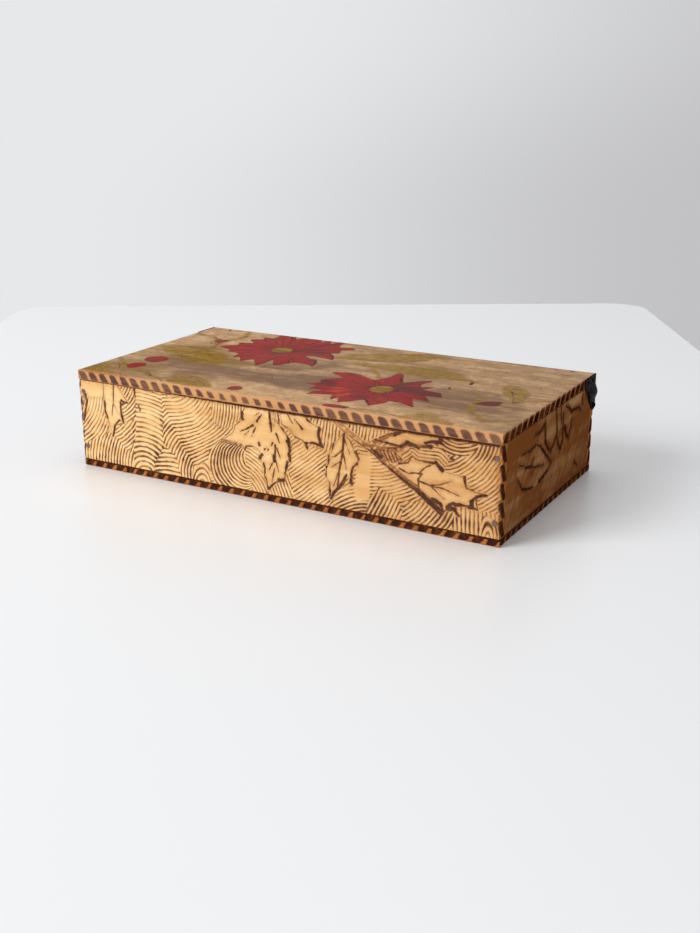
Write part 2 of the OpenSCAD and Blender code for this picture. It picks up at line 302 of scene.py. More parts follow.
FRONT_VEINS = [
    ([(28.4, 0), (27.4, 12, 0.03), (25.8, 20.5)], 1.1, 0.5), ([(27.6, 12.5), (31.4, 19)], 0.8, 0.3),
    ([(20.6, 12), (20.2, 17.6), (22.2, 22.6)], 1.3, 1.0), ([(140.6, 4.2), (137, 8.8)], 0.8, 1.9),
    ([(138.8, 3.2), (136.2, 5)], 0.5, 0.7), ([(134, 11.4), (129.6, 14.4), (124.6, 16.4)], 1.7, 0.6),
    ([(131, 15.4), (127.6, 18.4)], 0.7, 0.3), ([(136, 12.4), (134, 15.8)], 0.6, 1.3),
    ([(133.4, 17.4), (132.8, 18.4)], 0.6, 0.6), ([(145.8, 1), (146.4, 8)], 1.2, 1.6),
    ([(146.4, 8.6), (146.8, 13.4)], 2.2, 1.0), ([(150.4, 14.6), (152.6, 19.4)], 1.8, 0.5),
    ([(149.4, 21.6), (149, 30), (151.4, 37)], 1.5, 0.8), ([(150.4, 23), (152.8, 29)], 1.0, 0.6),
    ([(148.4, 28), (148.4, 31.6)], 1.8, 2.2), ([(145, 37.2), (147, 33.6)], 0.9, 1.2),
    ([(148.6, 36.6), (146.6, 45)], 0.8, 0.6), ([(137.8, 21.6), (138.2, 23.2)], 1.5, 1.5),
    ([(141.6, 25.4), (142.2, 24.6)], 1.2, 1.2), ([(144, 25.4), (144.4, 24.6)], 0.9, 0.9),
    ([(146.6, 22), (147.4, 20.4)], 0.9, 1.3), ([(139, 29.4), (137.4, 31.6)], 2.0, 1.4),
    ([(128.6, 25.2), (134, 24.6)], 1.2, 0.7), ([(158.2, 1), (162, 6.6)], 0.9, 0.5),
    ([(163, 3.6), (168.4, 8.8)], 0.7, 1.5), ([(170.8, 17.4), (171.2, 19.4)], 1.4, 1.6),
    ([(196, 8), (195.4, 18), (192.8, 30), (191.6, 40)], 1.7, 0.9),
    ([(195.6, 17), (190, 22), (187.6, 22.8)], 0.9, 0.5), ([(194.4, 24), (187.4, 29)], 0.8, 0.5),
    ([(195.4, 19), (197.4, 28.4)], 1.0, 0.5), ([(196.4, 11), (200, 19.6)], 1.0, 0.4),
    ([(192.4, 31), (189, 40)], 0.8, 0.6), ([(217, 8.4), (232, 9.8, 0.02), (236.6, 7)], 1.2, 1.8),
    ([(237, 6.8), (242.4, 8)], 2.2, 1.4), ([(244, 8), (250, 6.8)], 1.3, 2.4),
    ([(247.4, 5.4), (251, 3.8), (256, 3.6), (256.6, 0)], 1.8, 2.2),
    ([(219, 6.6), (226, 3), (235, 0)], 0.9, 0.9),
    ([(231, 22.4), (237, 24.4, -0.06), (243.4, 23.8, -0.08), (250, 17.6)], 1.0, 0.9),
    ([(245, 23.4), (242.6, 27.4), (243.4, 31)], 1.2, 0.8),
    ([(243, 28), (250, 29.2), (258.6, 29.6), (268.4, 32.4)], 1.4, 0.5),
    ([(250, 29), (256, 27.6), (263, 24.6)], 1.0, 0.4), ([(250.4, 29.4), (258.6, 35.4)], 0.8, 0.4),
    ([(243, 16), (254, 16)], 0.6, 1.6), ([(254, 16), (256.6, 18.8)], 2.0, 2.6),
    ([(239.2, 14), (236.4, 18.4), (231, 19.6)], 0.6, 1.6),
    ([(5, 10), (5.4, 15), (3.4, 22), (1.6, 27)], 1.2, 1.2), ([(3.4, 10), (1.6, 20)], 0.6, 0.5),
    ([(45.4, 0), (45.6, 6)], 2.0, 1.0), ([(47.6, 11), (49, 14)], 1.0, 1.4),
    ([(70.6, 0), (71, 3)], 1.0, 0.4), ([(262, 12), (264, 12)], 1.4, 1.0),
]
FRONT_BLOTS = [
    ([(33.6, 11), (33.2, 17), (33.8, 21), (34.6, 24.2)], 1.3, 1.8),
    ([(34, 9.6), (37, 10.4), (39.4, 10.6)], 1.2, 1.0), ([(31.4, 23), (27.6, 27.6), (25.6, 34)], 1.2, 1.6),
    ([(19.6, 12), (20.2, 17), (21.6, 22.6)], 1.0, 1.3),
    ([(4.6, 9.6), (5.4, 14), (3.8, 20), (1.6, 27)], 2.0, 1.6), ([(1.2, 12), (1.0, 24)], 0.9, 0.7),
    ([(151.5, 7.5), (156, 12), (159.4, 17.4)], 0.8, 1.6),
    ([(158.4, 18), (159.4, 22), (158.8, 26), (159.8, 29.6)], 2.6, 2.2),
    ([(157.6, 30.6), (156.6, 34), (156, 38)], 2.2, 1.6), ([(151.4, 42.6), (154.6, 42.4)], 2.6, 2.8),
    ([(150.6, 43.6), (146.6, 47), (143.6, 49.8)], 1.0, 1.0), ([(139.6, 28.8), (138.4, 31.4)], 2.2, 1.8),
    ([(140.8, 34), (141.6, 37), (141.2, 41), (142.8, 45), (143.4, 49)], 1.4, 1.2),
    ([(126.4, 4.6), (126.6, 8.6)], 2.2, 2.4), ([(126, 9.4), (122.6, 12.4)], 0.8, 0.7),
    ([(179.6, 6.6), (178.8, 11), (180.6, 16)], 2.0, 2.4),
    ([(163, 14.2), (168, 15.4), (170.4, 17)], 1.4, 1.2), ([(170.6, 17), (171.8, 20)], 1.4, 1.2),
    ([(170.4, 17), (176, 16), (182, 17.6)], 1.3, 1.8), ([(169.6, 0), (172, 3.4), (176, 5.6)], 1.2, 0.7),
    ([(203.8, 17), (205.4, 21)], 1.3, 1.6),
    ([(204.6, 24), (201.6, 27), (200.6, 31), (200.2, 36.6)], 1.6, 2.2),
    ([(197.4, 32), (194.6, 37), (192.4, 40.6)], 1.2, 2.4),
    ([(192.4, 40.6), (189.4, 43.6), (186.8, 48)], 2.2, 1.4), ([(186.4, 38.4), (186.4, 46)], 1.4, 1.4),
    ([(184.4, 29), (184, 35)], 1.2, 0.8), ([(186, 22), (185.6, 27)], 1.6, 1.0),
    ([(189, 14.6), (188.2, 18.6)], 1.4, 0.7), ([(236, 7), (242.6, 9)], 2.8, 2.0),
    ([(243.6, 8.4), (250.6, 7)], 1.4, 2.4), ([(247, 5.4), (251, 4.2), (257.6, 4.4)], 1.8, 1.6),
    ([(256, 0.4), (256.6, 4)], 2.8, 2.0), ([(228, 3.6), (236, 0)], 1.8, 1.4),
    ([(241, 15.4), (247, 16.4), (253.6, 16)], 1.0, 1.4), ([(253.6, 15.6), (257.4, 19.4)], 2.6, 2.8),
    ([(270.6, 21), (271.2, 26)], 1.8, 1.2), ([(272, 27), (280, 29)], 0.8, 1.2),
    ([(283, 29.4), (277.6, 31), (275.2, 34), (275.4, 37)], 2.2, 2.6),
    ([(275, 37.6), (278.6, 38.4)], 2.4, 1.6), ([(263.6, 37.4), (270, 37), (275, 38)], 2.2, 1.6),
    ([(261, 40), (264.6, 40.4), (267.4, 43.6)], 3.2, 2.0), ([(262, 38), (262.6, 41)], 1.6, 2.0),
    ([(251.6, 37.4), (256.4, 38.6), (258.6, 42.6)], 3.4, 2.0),
    ([(243, 32.8), (250, 38.4), (257, 42.6)], 2.2, 3.0),
    ([(211, 14), (219, 19.6), (229, 25.6), (243, 33.6)], 1.2, 1.8),
    ([(213.6, 13.6), (219.6, 18)], 1.4, 2.6),
]
FRONT_STEM = [
    (189, -0.5), (196, 4.6), (203, 8.8), (210, 12.6), (217, 16.4), (225, 21.8), (235, 28), (243, 32.4),
    (250, 37.8), (258, 43.4),
]

FRONT_BRANCH = [
    ([(209, 12.2), (218, 12.6, 0.04), (230, 11.6), (234, 8.6)], 1.6, 3.0),
    ([(215, 9.6), (221, 6.4), (228, 3), (237, 0)], 2.4, 1.4),
]
SMALL_LEAF = [
    (213, 14.6), (220, 13.4), (228, 13.2), (231.4, 15.8), (234, 17.6, 0.04), (227, 19.8), (221, 17.6),
]

# The flowers, buds and leaves of the lid, y down from the back edge. Both flowers run clockwise

BACK_FLOWER = [
    (58.5, -2), (60.3, 8), (60.2, 12.5), (52.5, 11.5), (55.5, 18), (47.5, 23), (56, 31), (46.8, 34.8),
    (49, 41), (40, 49.5), (46, 53.5), (52, 55), (54.5, 60.5), (64.5, 61.8), (66, 67), (68, 73.3),
    (71.5, 70), (78.3, 79.5), (83.5, 71), (93.3, 84.5), (95, 76), (95.5, 67), (105, 79.5), (109.4, 70),
    (112, 65.6), (121, 66.2), (126.4, 69), (125.2, 61), (120.5, 53.5), (116, 52.5), (107.5, 46.5),
    (114, 44.5), (121, 46.5), (129.6, 48.8), (124.2, 37.5), (119.7, 33), (123.6, 30), (121, 21.5),
    (129, 16.5), (124.5, 11.2), (116.3, 15), (113.5, 9), (112, -2), (108, -2), (104.5, 8.5), (100.5, -2),
    (99, -2), (96, 7), (93.2, -2), (86, -2), (84.5, 4), (82, -2), (79.5, -2), (76, 8), (70.5, -2),
]
BACK_CREASES = [
    [(60.2, 12.5), (78, 32, 0.05)], [(55.5, 18), (76, 34, 0.04)], [(56, 31), (75, 37)],
    [(49, 41), (74, 41)], [(52, 55), (76, 46, 0.05)], [(64.5, 61.8), (79, 48)], [(71.5, 70), (82, 49)],
    [(83.5, 71), (86, 50, 0.04)], [(95.5, 67), (90, 48)], [(112, 65.6), (93, 46)],
    [(107.5, 46.5), (93, 42)], [(119.7, 33), (94, 38)], [(121, 21.5), (92, 36)], [(116.3, 15), (90, 33)],
    [(104.5, 8.5), (89, 31)], [(96, 7), (87, 30)], [(84.5, 4), (85, 30)], [(76, 8), (81, 30)],
]
BACK_SHADES = [
    ([(68, 0), (71, 5), (74, 10), (78, 19)], 1.6, 0.8), ([(78, 0), (83, 9)], 1.4, 0.4),
    ([(117.5, 34, -0.06), (124, 38), (126.5, 42), (129.3, 48)], 0.9, 1.8),
    ([(115, 50, -0.06), (120.5, 53.5), (124, 59), (126.3, 68.5)], 1.0, 1.8),
    ([(104.5, 61), (109.2, 70)], 1.0, 1.6), ([(109.2, 70), (105.6, 78)], 1.5, 0.9),
    ([(94, 66), (95, 76), (93.4, 83)], 0.9, 1.7), ([(95.5, 67), (104, 78.5)], 0.7, 1.1),
    ([(122.8, 26), (124.2, 30.4)], 1.0, 1.0), ([(64, 12), (70, 24)], 0.9, 0.4),
    ([(90, 2), (92, 12)], 0.8, 0.4), ([(100, 56), (106, 61)], 0.8, 0.5),
]
FRONT_FLOWER = [
    (184.3, 61), (185.8, 58.8), (188, 59.8), (190.5, 63.5), (194, 72), (198, 79), (201, 75), (205.5, 70),
    (211.3, 65.5), (212.5, 69), (210, 74), (210, 79.5), (212, 82.8), (220.6, 79), (217, 86), (216, 88.4),
    (222, 89), (228, 90.3), (233.6, 98.4), (227, 98.7), (222, 99.4), (228, 106), (231.3, 111.5),
    (224, 108.6), (219, 109.2), (222.6, 115), (227.3, 124.8), (221, 121), (215, 119.5), (209.8, 119.2),
    (209, 125), (203.6, 134.3), (199.5, 129), (195.8, 123.6), (193, 127), (190, 132), (184.8, 135.6),
    (182, 131), (180.6, 126.3), (178.4, 132.6), (176, 128), (174.4, 122.3), (169, 124.5), (163, 126),
    (159.5, 129), (159.5, 123), (164.5, 116.5), (153.3, 117), (155, 111.5), (154.5, 109.3),
    (146.5, 108.5), (150, 103.5), (154, 101), (150, 97), (153, 92), (156, 88.6), (160.5, 85.5),
    (152, 80.5), (145.6, 77), (150, 74.5), (157, 72.6), (165, 73.6), (172, 77.5), (180.6, 81),
    (182.4, 75.5), (184.4, 68),
]
FRONT_CREASES = [
    [(198, 79), (196, 92)], [(212, 82.8), (200, 94)], [(216, 88.4), (202, 96)], [(222, 99.4), (203, 99)],
    [(219, 109.2), (201, 103)], [(215, 119.5), (198, 104)], [(209.8, 119.2), (196, 105)],
    [(195.8, 123.6), (194, 106)], [(180.6, 126.3), (190, 105)], [(174.4, 122.3), (187, 104)],
    [(164.5, 116.5), (185, 103)], [(154.5, 109.3), (185, 101)], [(154, 101), (185, 99)],
    [(156, 88.6), (186, 96)], [(180.6, 81), (190, 92)],
]
FRONT_SHADES = [
    ([(188, 60, -0.05), (191.5, 69), (196, 78)], 0.8, 1.5),
    ([(196.6, 124, -0.03), (203.4, 133)], 1.7, 0.9),
    ([(170, 77, -0.08), (178, 81, -0.08), (184, 90)], 0.7, 1.0), ([(147.5, 78), (156, 84.6)], 0.5, 1.0),
    ([(211, 66), (211.6, 72)], 0.6, 1.0), ([(227, 123.4), (218, 118)], 1.2, 0.6),
    ([(176.4, 123), (178.4, 131)], 0.5, 0.9),
]
BUDS = [
    [(26.7, 31), (31, 33), (35.8, 30), (35.6, 38), (35, 43.5), (29, 41)],
    [(17.5, 101.5, -0.1), (25, 93.5, -0.12), (34, 98.5, -0.12), (30, 110, -0.1), (21.5, 108, -0.1)],
    [(20, 116.5, -0.1), (25, 114, -0.12), (31.7, 120, -0.12), (26.5, 128.5, -0.1), (21, 125, -0.1)],
    [(111, 135, -0.1), (115, 133, -0.12), (120.3, 138, -0.12), (116.5, 142.5, -0.1), (111.5, 141.5, -0.1)],
    [(179, 143.5, -0.1), (186.5, 141, -0.08), (196.7, 142, -0.1), (194, 146.4), (181.5, 146.4)],
    [(255, 101.7), (257.5, 95, -0.05), (267.5, 90), (268.7, 98.5, -0.1), (260, 102.7)],
    [(264, 1), (268, 0.6), (268.6, 3.4)], [(276, 1.4), (279, 1), (279, 4)],
]
LID_LEAVES = [
    [
        (127.5, 44), (128.5, 31.5, -0.08), (140, 23.5), (155, 14), (171.5, 6.5, -0.08), (183.5, 3, -0.06),
        (198, 8.3), (187, 16), (180, 25, -0.06), (168, 34, -0.08), (153.5, 39), (138, 43.5),
    ],
    [
        (145, 50), (160, 43.5, -0.05), (180, 40), (200, 38, -0.06), (215, 40, -0.08), (225, 48.5),
        (236.5, 57), (221.5, 58.5), (201.5, 60, -0.05), (181.5, 57.5), (163, 55), (150, 52.5),
    ],
    [
        (256, 53), (265, 55, -0.1), (275, 66.5), (277, 78.5), (273.5, 90), (266.5, 80), (260, 73),
        (255, 61.5),
    ],
    [(227, 149), (233, 136.5), (243, 131.5, -0.1), (250, 136.5), (261.5, 143), (262, 149)],
    [
        (3, 68), (17, 61.5), (35, 57.5), (40, 63), (55, 68, -0.1), (67, 78), (71.5, 90), (58, 96.5, -0.1),
        (45, 95), (31.5, 85), (18, 81.5), (10, 75),
    ],
    [(-1, 126), (10, 128), (18, 138), (17, 149), (-1, 149)],
    [
        (61.5, 138.5), (63.5, 128.5), (78, 126.5, -0.08), (88, 130), (97, 137), (102, 144), (93, 148),
        (70, 146),
    ],
]
LID_STEMS = [
    ([(31.5, 0), (39, 15, -0.05), (38, 27), (36, 40, 0.05), (39, 56.5)], 4.6, 3.2),
    ([(0, 22), (10, 26.5), (18.5, 26, 0.05), (25, 33), (36, 48)], 3.4, 3.4),
    ([(165, 58), (175.5, 69), (180, 76)], 3.4, 3.0),
    ([(273, 91), (280, 83, -0.05), (291, 77)], 3.0, 4.0),
    ([(254, 88), (256, 107), (259, 118), (267, 124), (273, 131.5), (286, 124), (291, 120)], 4.6, 3.6),
    ([(0, 108), (10, 117), (20, 124)], 4.0, 3.0),
    ([(35, 131), (50, 138), (63, 142)], 3.2, 3.2),
    ([(200, 143), (214, 141, 0.03), (228, 144)], 2.6, 3.2),
    ([(8, 4), (20, 6), (30, 2)], 2.4, 1.6),
]
LID_INK = [
    ([(15, 0.5), (17.6, 5.6)], 1.2, 1.8), ([(22, 28), (26, 33)], 0.8, 1.2),
    ([(27, 40), (31, 47)], 0.6, 1.2), ([(34.6, 30), (36.6, 40), (38.6, 54)], 0.7, 0.4),
    ([(39, 14), (39.6, 24)], 1.0, 0.5), ([(165, 34.5, 0.04), (178, 28), (186, 17.5)], 0.9, 1.3),
    ([(148, 39.6), (162, 36.6)], 0.4, 0.8), ([(261, 64), (266, 71), (271, 82), (273.6, 90)], 0.8, 0.8),
    ([(262, 60), (268, 62)], 1.4, 0.8), ([(264, 68), (270, 72)], 1.2, 0.6),
    ([(275, 66.5), (277.2, 78), (274, 89)], 0.6, 1.0), ([(31, 81), (36.5, 87)], 1.0, 0.5),
    ([(51, 76), (55, 80)], 0.8, 0.4), ([(84, 133.6), (95, 141)], 0.5, 0.9),
    ([(10, 120), (20, 131)], 0.6, 1.2), ([(30, 143), (35, 148)], 0.9, 0.7),
    ([(40, 129), (52, 139)], 0.6, 1.1), ([(57, 140), (66, 146)], 0.5, 1.0),
    ([(116, 98), (122, 108)], 0.5, 0.9), ([(255, 92), (255.6, 104)], 0.8, 0.5),
    ([(258, 116), (263, 121)], 0.5, 1.0), ([(245, 1.5), (247, 3)], 0.8, 0.8),
    ([(274, 46), (277, 55)], 0.8, 0.5), ([(234.6, 58.6), (235.6, 63)], 2.4, 2.8),
    ([(227.4, 76), (228.6, 78.6)], 1.4, 1.8), ([(241, 22), (244, 26)], 0.7, 1.0),
]

# Streaks that lighten or darken the lid's flowers: how much, where, and the reach of full and of none
LID_LIGHTS = [
    (0.9, [(168, 76), (183, 82)], 4, 0.4), (-1.3, [(203, 92), (230, 95)], 9, 2),
    (-0.6, [(156, 96), (160, 108)], 10, 2), (-0.5, [(96, 20), (108, 30)], 12, 4),
]

# Smoky patches of the lid: how dark, the middle, how much wider than tall, how ragged, and the reach
LID_STAINS = [
    (0.95, 244, 100, 1.6, 0, 42, 12), (0.8, 116, 68, 1.3, 1, 28, 8), (0.85, 74, 124, 1, 0, 26, 10),
    (0.7, 204, 60, 1, 1, 44, 14), (0.45, 62, 66, 1.6, 0, 15, 5), (0.5, 229, 76, 1, 0, 9, 3),
    (0.6, 284, 128, 1, 0, 34, 10),
]

# The right end: x from the front board, y down from the rim

END_LEAF = [
    (18, 14.2), (23.6, 13.2, -0.03), (34.9, 14.2), (43.6, 13.2), (49.9, 16.1), (56.1, 21.1), (61.7, 25.5),
    (68.6, 31.7), (61.7, 34.9), (49.9, 37.4, 0.03), (39.9, 38.4, 0.03), (34.9, 36.7), (24.9, 34.2),
    (20.5, 29.9), (15.5, 24.9), (14, 19),
]
END_STROKES = [
    ([(22, 13.4), (34.9, 14.2), (43.6, 13.2)], 0.5, 1.0),
    ([(43.6, 13.2), (50, 16.1), (56.1, 21.1)], 1.0, 1.6),
    ([(56.1, 21.1), (61.7, 25.5), (68.6, 31.7)], 1.8, 1.0),
    ([(68.6, 31.7), (61.7, 34.9), (50, 37.4)], 0.9, 2.6),
    ([(40, 37.6), (34.9, 36.7), (24.9, 34.2)], 0.7, 2.0),
    ([(24.9, 34.2), (20.5, 29.9), (15.5, 24.9)], 1.6, 0.6),
    ([(27.4, 22.6), (34.9, 23.6), (43.6, 26.4), (56, 28.6)], 1.4, 0.5),
    ([(17, 18), (25, 20.6)], 0.5, 0.8), ([(36, 23.8), (40, 20)], 0.8, 0.3),
    ([(39, 25), (37.6, 29.4)], 0.7, 0.3), ([(67.4, 24.2), (71.1, 20.5), (75.5, 16.1)], 2.4, 0.9),
    ([(75.5, 16.1), (80, 23), (84.2, 27.4)], 1.2, 2.4),
    ([(84.2, 27.4), (86.7, 21.7), (86.7, 15)], 2.6, 1.2),
    ([(89.9, 14.9), (93.6, 21.1), (97.4, 23.6)], 2.6, 2.2),
    ([(97.4, 23.6), (99.9, 18.6), (101.7, 13)], 2.4, 1.0),
    ([(73.6, 0), (75.5, 8.6), (76.7, 15.5)], 0.7, 1.4), ([(81.1, 0), (83.6, 10)], 0.9, 0.4),
    ([(86.1, 5), (86.7, 14.9)], 0.6, 1.4), ([(90, 14.9), (86.7, 17.5)], 1.6, 2.2),
    ([(56.1, 5), (57.4, 14.9), (61.1, 19.6)], 1.4, 2.2), ([(61.1, 19.6), (66.4, 23.4)], 1.6, 1.0),
    ([(41.1, 6.7), (47.4, 7.4), (56.1, 4.2)], 0.8, 1.6),
    ([(99.9, 8), (106.1, 8.6), (113.6, 9.2)], 2.0, 1.2), ([(113.6, 9.2), (119.9, 12.4)], 1.4, 0.5),
    ([(90, 2.4), (99, 6.6)], 0.5, 1.2), ([(119, 3), (121, 9)], 0.9, 0.5),
    ([(111, 43), (117, 47)], 1.6, 0.6),
]
END_LIGHT = [(93.6, 0), (118, 0), (117.4, 7.4), (99.9, 7)]
END_PETALS = [
    (57.4, 0), (60, 15), (71.1, 20.5), (75.5, 16.1), (84.2, 27.4), (87, 14), (97.4, 23.6), (101.7, 12),
    (93, 4), (91, 0),
]

# The back, which the photograph doesn't show, in the manner of the front

BACK_LEAF = [
    (0, 0), (6, -6), (11, -4, 0.1), (13, -11, 0.08), (22, -8, 0.06), (27, -13, 0.08), (33, -6, 0.1),
    (43, -3, 0.08), (36, 2, 0.08), (38, 9, 0.1), (28, 7, 0.08), (24, 13, 0.08), (18, 6, 0.08), (9, 8, 0.08),
]
BACK_VEINS = [
    ([(-2, 0), (12, -1.4), (26, -1.6), (38, -2.6)], 1.3, 0.5), ([(10, -1.6), (15, -7)], 0.9, 0.4),
    ([(14, -1.4), (20, 4)], 0.9, 0.4), ([(22, -1.6), (27, -8)], 0.8, 0.4),
    ([(25, -1.6), (31, 4)], 0.8, 0.4),
]


def sprays(spots: list[tuple]) -> tuple[list[Marks], list[tuple[Marks, float, float]]]:
    """Moves the back's leaf.

    Args:
        spots: Where each leaf goes: x, y, its turn, and whether it is mirrored if it may be.

    Returns:
        The outlines of the leaves, and their veins.
    """
    leaves = [moved(BACK_LEAF, *spot) for spot in spots]
    veins = [
        (moved([(0, 0)] + marks, *spot)[1:], start, end)
        for spot in spots
        for marks, start, end in BACK_VEINS
    ]
    return leaves, veins


# Scene shorthand


def meshed(name: str, shape: bmesh.types.BMesh) -> bpy.types.Mesh:
    """Turns a finished shape into a mesh."""
    mesh = bpy.data.meshes.new(name)
    shape.to_mesh(mesh)
    shape.free()
    return mesh


def placed(name: str, data: bpy.types.ID) -> bpy.types.Object:
    """Puts a new object into the scene."""
    made = bpy.data.objects.new(name, data)
    bpy.context.scene.collection.objects.link(made)
    return made


# Shader shorthand


def linear(colour: object) -> object:
    """Turns a colour as seen on a screen, 0 to 255, into linear values.

    Args:
        colour: Three numbers, or a value or a linear colour of four numbers, which stay as they are.

    Returns:
        What a colour socket takes.
    """
    if isinstance(colour, Value) or len(colour) == 4:
        return colour
    parts = [c / 255 for c in colour]
    return tuple(c / 12.92 if c <= 0.04045 else ((c + 0.055) / 1.055) ** 2.4 for c in parts) + (1.0,)


class Value:
    """What a node works out, with the usual signs for arithmetic."""

    def __init__(self, tree: "Tree", socket: bpy.types.NodeSocket) -> None:
        """Takes the tree and the socket that the value comes from."""
        self.tree = tree
        self.socket = socket

    def __add__(self, other: object) -> "Value":
        """The sum."""
        return self.tree.math("ADD", self, other)

    def __radd__(self, other: float) -> "Value":
        """The sum, with a plain number first."""
        return self.tree.math("ADD", other, self)

    def __sub__(self, other: object) -> "Value":
        """The difference."""
        return self.tree.math("SUBTRACT", self, other)

    def __rsub__(self, other: float) -> "Value":
        """What is left of a plain number."""
        return self.tree.math("SUBTRACT", other, self)

    def __mul__(self, other: object) -> "Value":
        """The product."""
        return self.tree.math("MULTIPLY", self, other)

    def __rmul__(self, other: float) -> "Value":
        """The product, with a plain number first."""
        return self.tree.math("MULTIPLY", other, self)

    def most(self, other: object) -> "Value":
        """The greater of the two."""
        return self.tree.math("MAXIMUM", self, other)

    def least(self, other: object) -> "Value":
        """The smaller of the two."""
        return self.tree.math("MINIMUM", self, other)

    def clamped(self) -> "Value":
        """The same step of arithmetic, its result kept from 0 to 1."""
        self.socket.node.use_clamp = True
        return self


class Tree:
    """A node tree, with short calls for the nodes that the finishes share."""

    def __init__(self, tree: bpy.types.NodeTree) -> None:
        """Takes the tree and clears it."""
        self.tree = tree
        tree.nodes.clear()

    def add(self, kind: str, inputs: dict | None = None, **settings: object) -> bpy.types.Node:
        """Adds a node.

        Args:
            kind: The node's type, without its leading ShaderNode.
            inputs: Sockets by name or number, each with a plain or a worked out value.
            settings: Properties of the node.

        Returns:
            The node.
        """
        node = self.tree.nodes.new(kind if kind.startswith("Node") else "ShaderNode" + kind)
        for name, value in settings.items():
            setattr(node, name, value)
        for key, value in (inputs or {}).items():
            if isinstance(value, Value):
                self.tree.links.new(value.socket, node.inputs[key])
            else:
                node.inputs[key].default_value = value
        return node

    def value(self, output: str | int, kind: str, inputs: dict | None = None, **settings: object) -> Value:
        """Adds a node and takes one of its outputs, by name or number."""
        return Value(self, self.add(kind, inputs, **settings).outputs[output])

    def values(self, kind: str, inputs: dict | None = None, **settings: object) -> dict[str, Value]:
        """Adds a node and takes all its outputs by name."""
        return {out.name: Value(self, out) for out in self.add(kind, inputs, **settings).outputs}

    def math(self, how: str, a: object, b: object = 0.0) -> Value:
        """One step of arithmetic."""
        return self.value(0, "Math", {0: a, 1: b}, operation=how)

    def span(self, value: Value, low: float, high: float, to: float = 1.0) -> Value:
        """Runs smoothly from 0 at low to another value at high, where low may be the greater."""
        inputs = {"Value": value, "From Min": low, "From Max": high, "To Max": to}
        return self.value(0, "MapRange", inputs, interpolation_type="SMOOTHSTEP")

    def blend(self, share: Value, under: object, over: object) -> Value:
        """Lays one colour over another by a share."""
        return self.value(2, "Mix", {0: share, 6: linear(under), 7: linear(over)}, data_type="RGBA")

    def noise(self, where: Value, scale: float, detail: float = 2.0, rough: float = 0.5) -> Value:
        """Noise from 0 to 1, at that many patches a metre."""
        inputs = {"Vector": where, "Scale": scale, "Detail": detail, "Roughness": rough}
        return self.value(0, "TexNoise", inputs)

    def stretched(self, where: Value, scale: tuple[float, float, float]) -> Value:
        """Coordinates scaled along each axis."""
        return self.value(0, "Mapping", {"Vector": where, "Scale": scale})

    def read(self, name: str) -> Value:
        """A number that the mesh holds at each vertex."""
        return self.value("Fac", "Attribute", attribute_name=name)

    def place(self) -> Value:
        """Object coordinates."""
        return self.value("Object", "TexCoord")

    def use(self, group: bpy.types.NodeTree, where: Value, **inputs: object) -> dict[str, Value]:
        """Places a shared group at these coordinates and takes its outputs by name."""
        return self.values("Group", {"Vector": where, **inputs}, node_tree=group)

    def bump(self, height: Value, depth: float) -> Value:
        """Relief of that depth in metres."""
        return self.value(0, "Bump", {"Height": height, "Distance": depth, "Strength": 1.0})


class Finish(Tree):
    """The tree of a new material."""

    def __init__(self, name: str) -> None:
        """Starts the material."""
        self.made = bpy.data.materials.new(name)
        self.made.use_nodes = True
        super().__init__(self.made.node_tree)

    def surface(self, colour: object, roughness: object, **others: object) -> bpy.types.Material:
        """Ends the tree in a Principled shader.

        Args:
            colour: Base colour.
            roughness: Roughness.
            others: Values for the shader's other sockets, spaces written as underscores.

        Returns:
            The finished material.
        """
        inputs = {"Base Color": linear(colour), "Roughness": roughness}
        inputs.update({name.replace("_", " "): value for name, value in others.items()})
        self.add("OutputMaterial", {"Surface": self.value(0, "BsdfPrincipled", inputs)})
        return self.made


class Effect(Tree):
    """A shared effect: a node group that is given coordinates and perhaps other numbers."""

    def __init__(self, name: str, *numbers: str) -> None:
        """Starts the group and names the numbers that it is given."""
        group = bpy.data.node_groups.new(name, "ShaderNodeTree")
        super().__init__(group)
        group.interface.new_socket("Vector", in_out="INPUT", socket_type="NodeSocketVector")
        for key in numbers:
            group.interface.new_socket(key, in_out="INPUT", socket_type="NodeSocketFloat")
        self.given = self.values("NodeGroupInput")

    def gives(self, **results: Value) -> bpy.types.NodeTree:
        """Ends the group in its results and returns it."""
        for key in results:
            self.tree.interface.new_socket(key, in_out="OUTPUT", socket_type="NodeSocketFloat")
        self.add("NodeGroupOutput", results)
        return self.tree


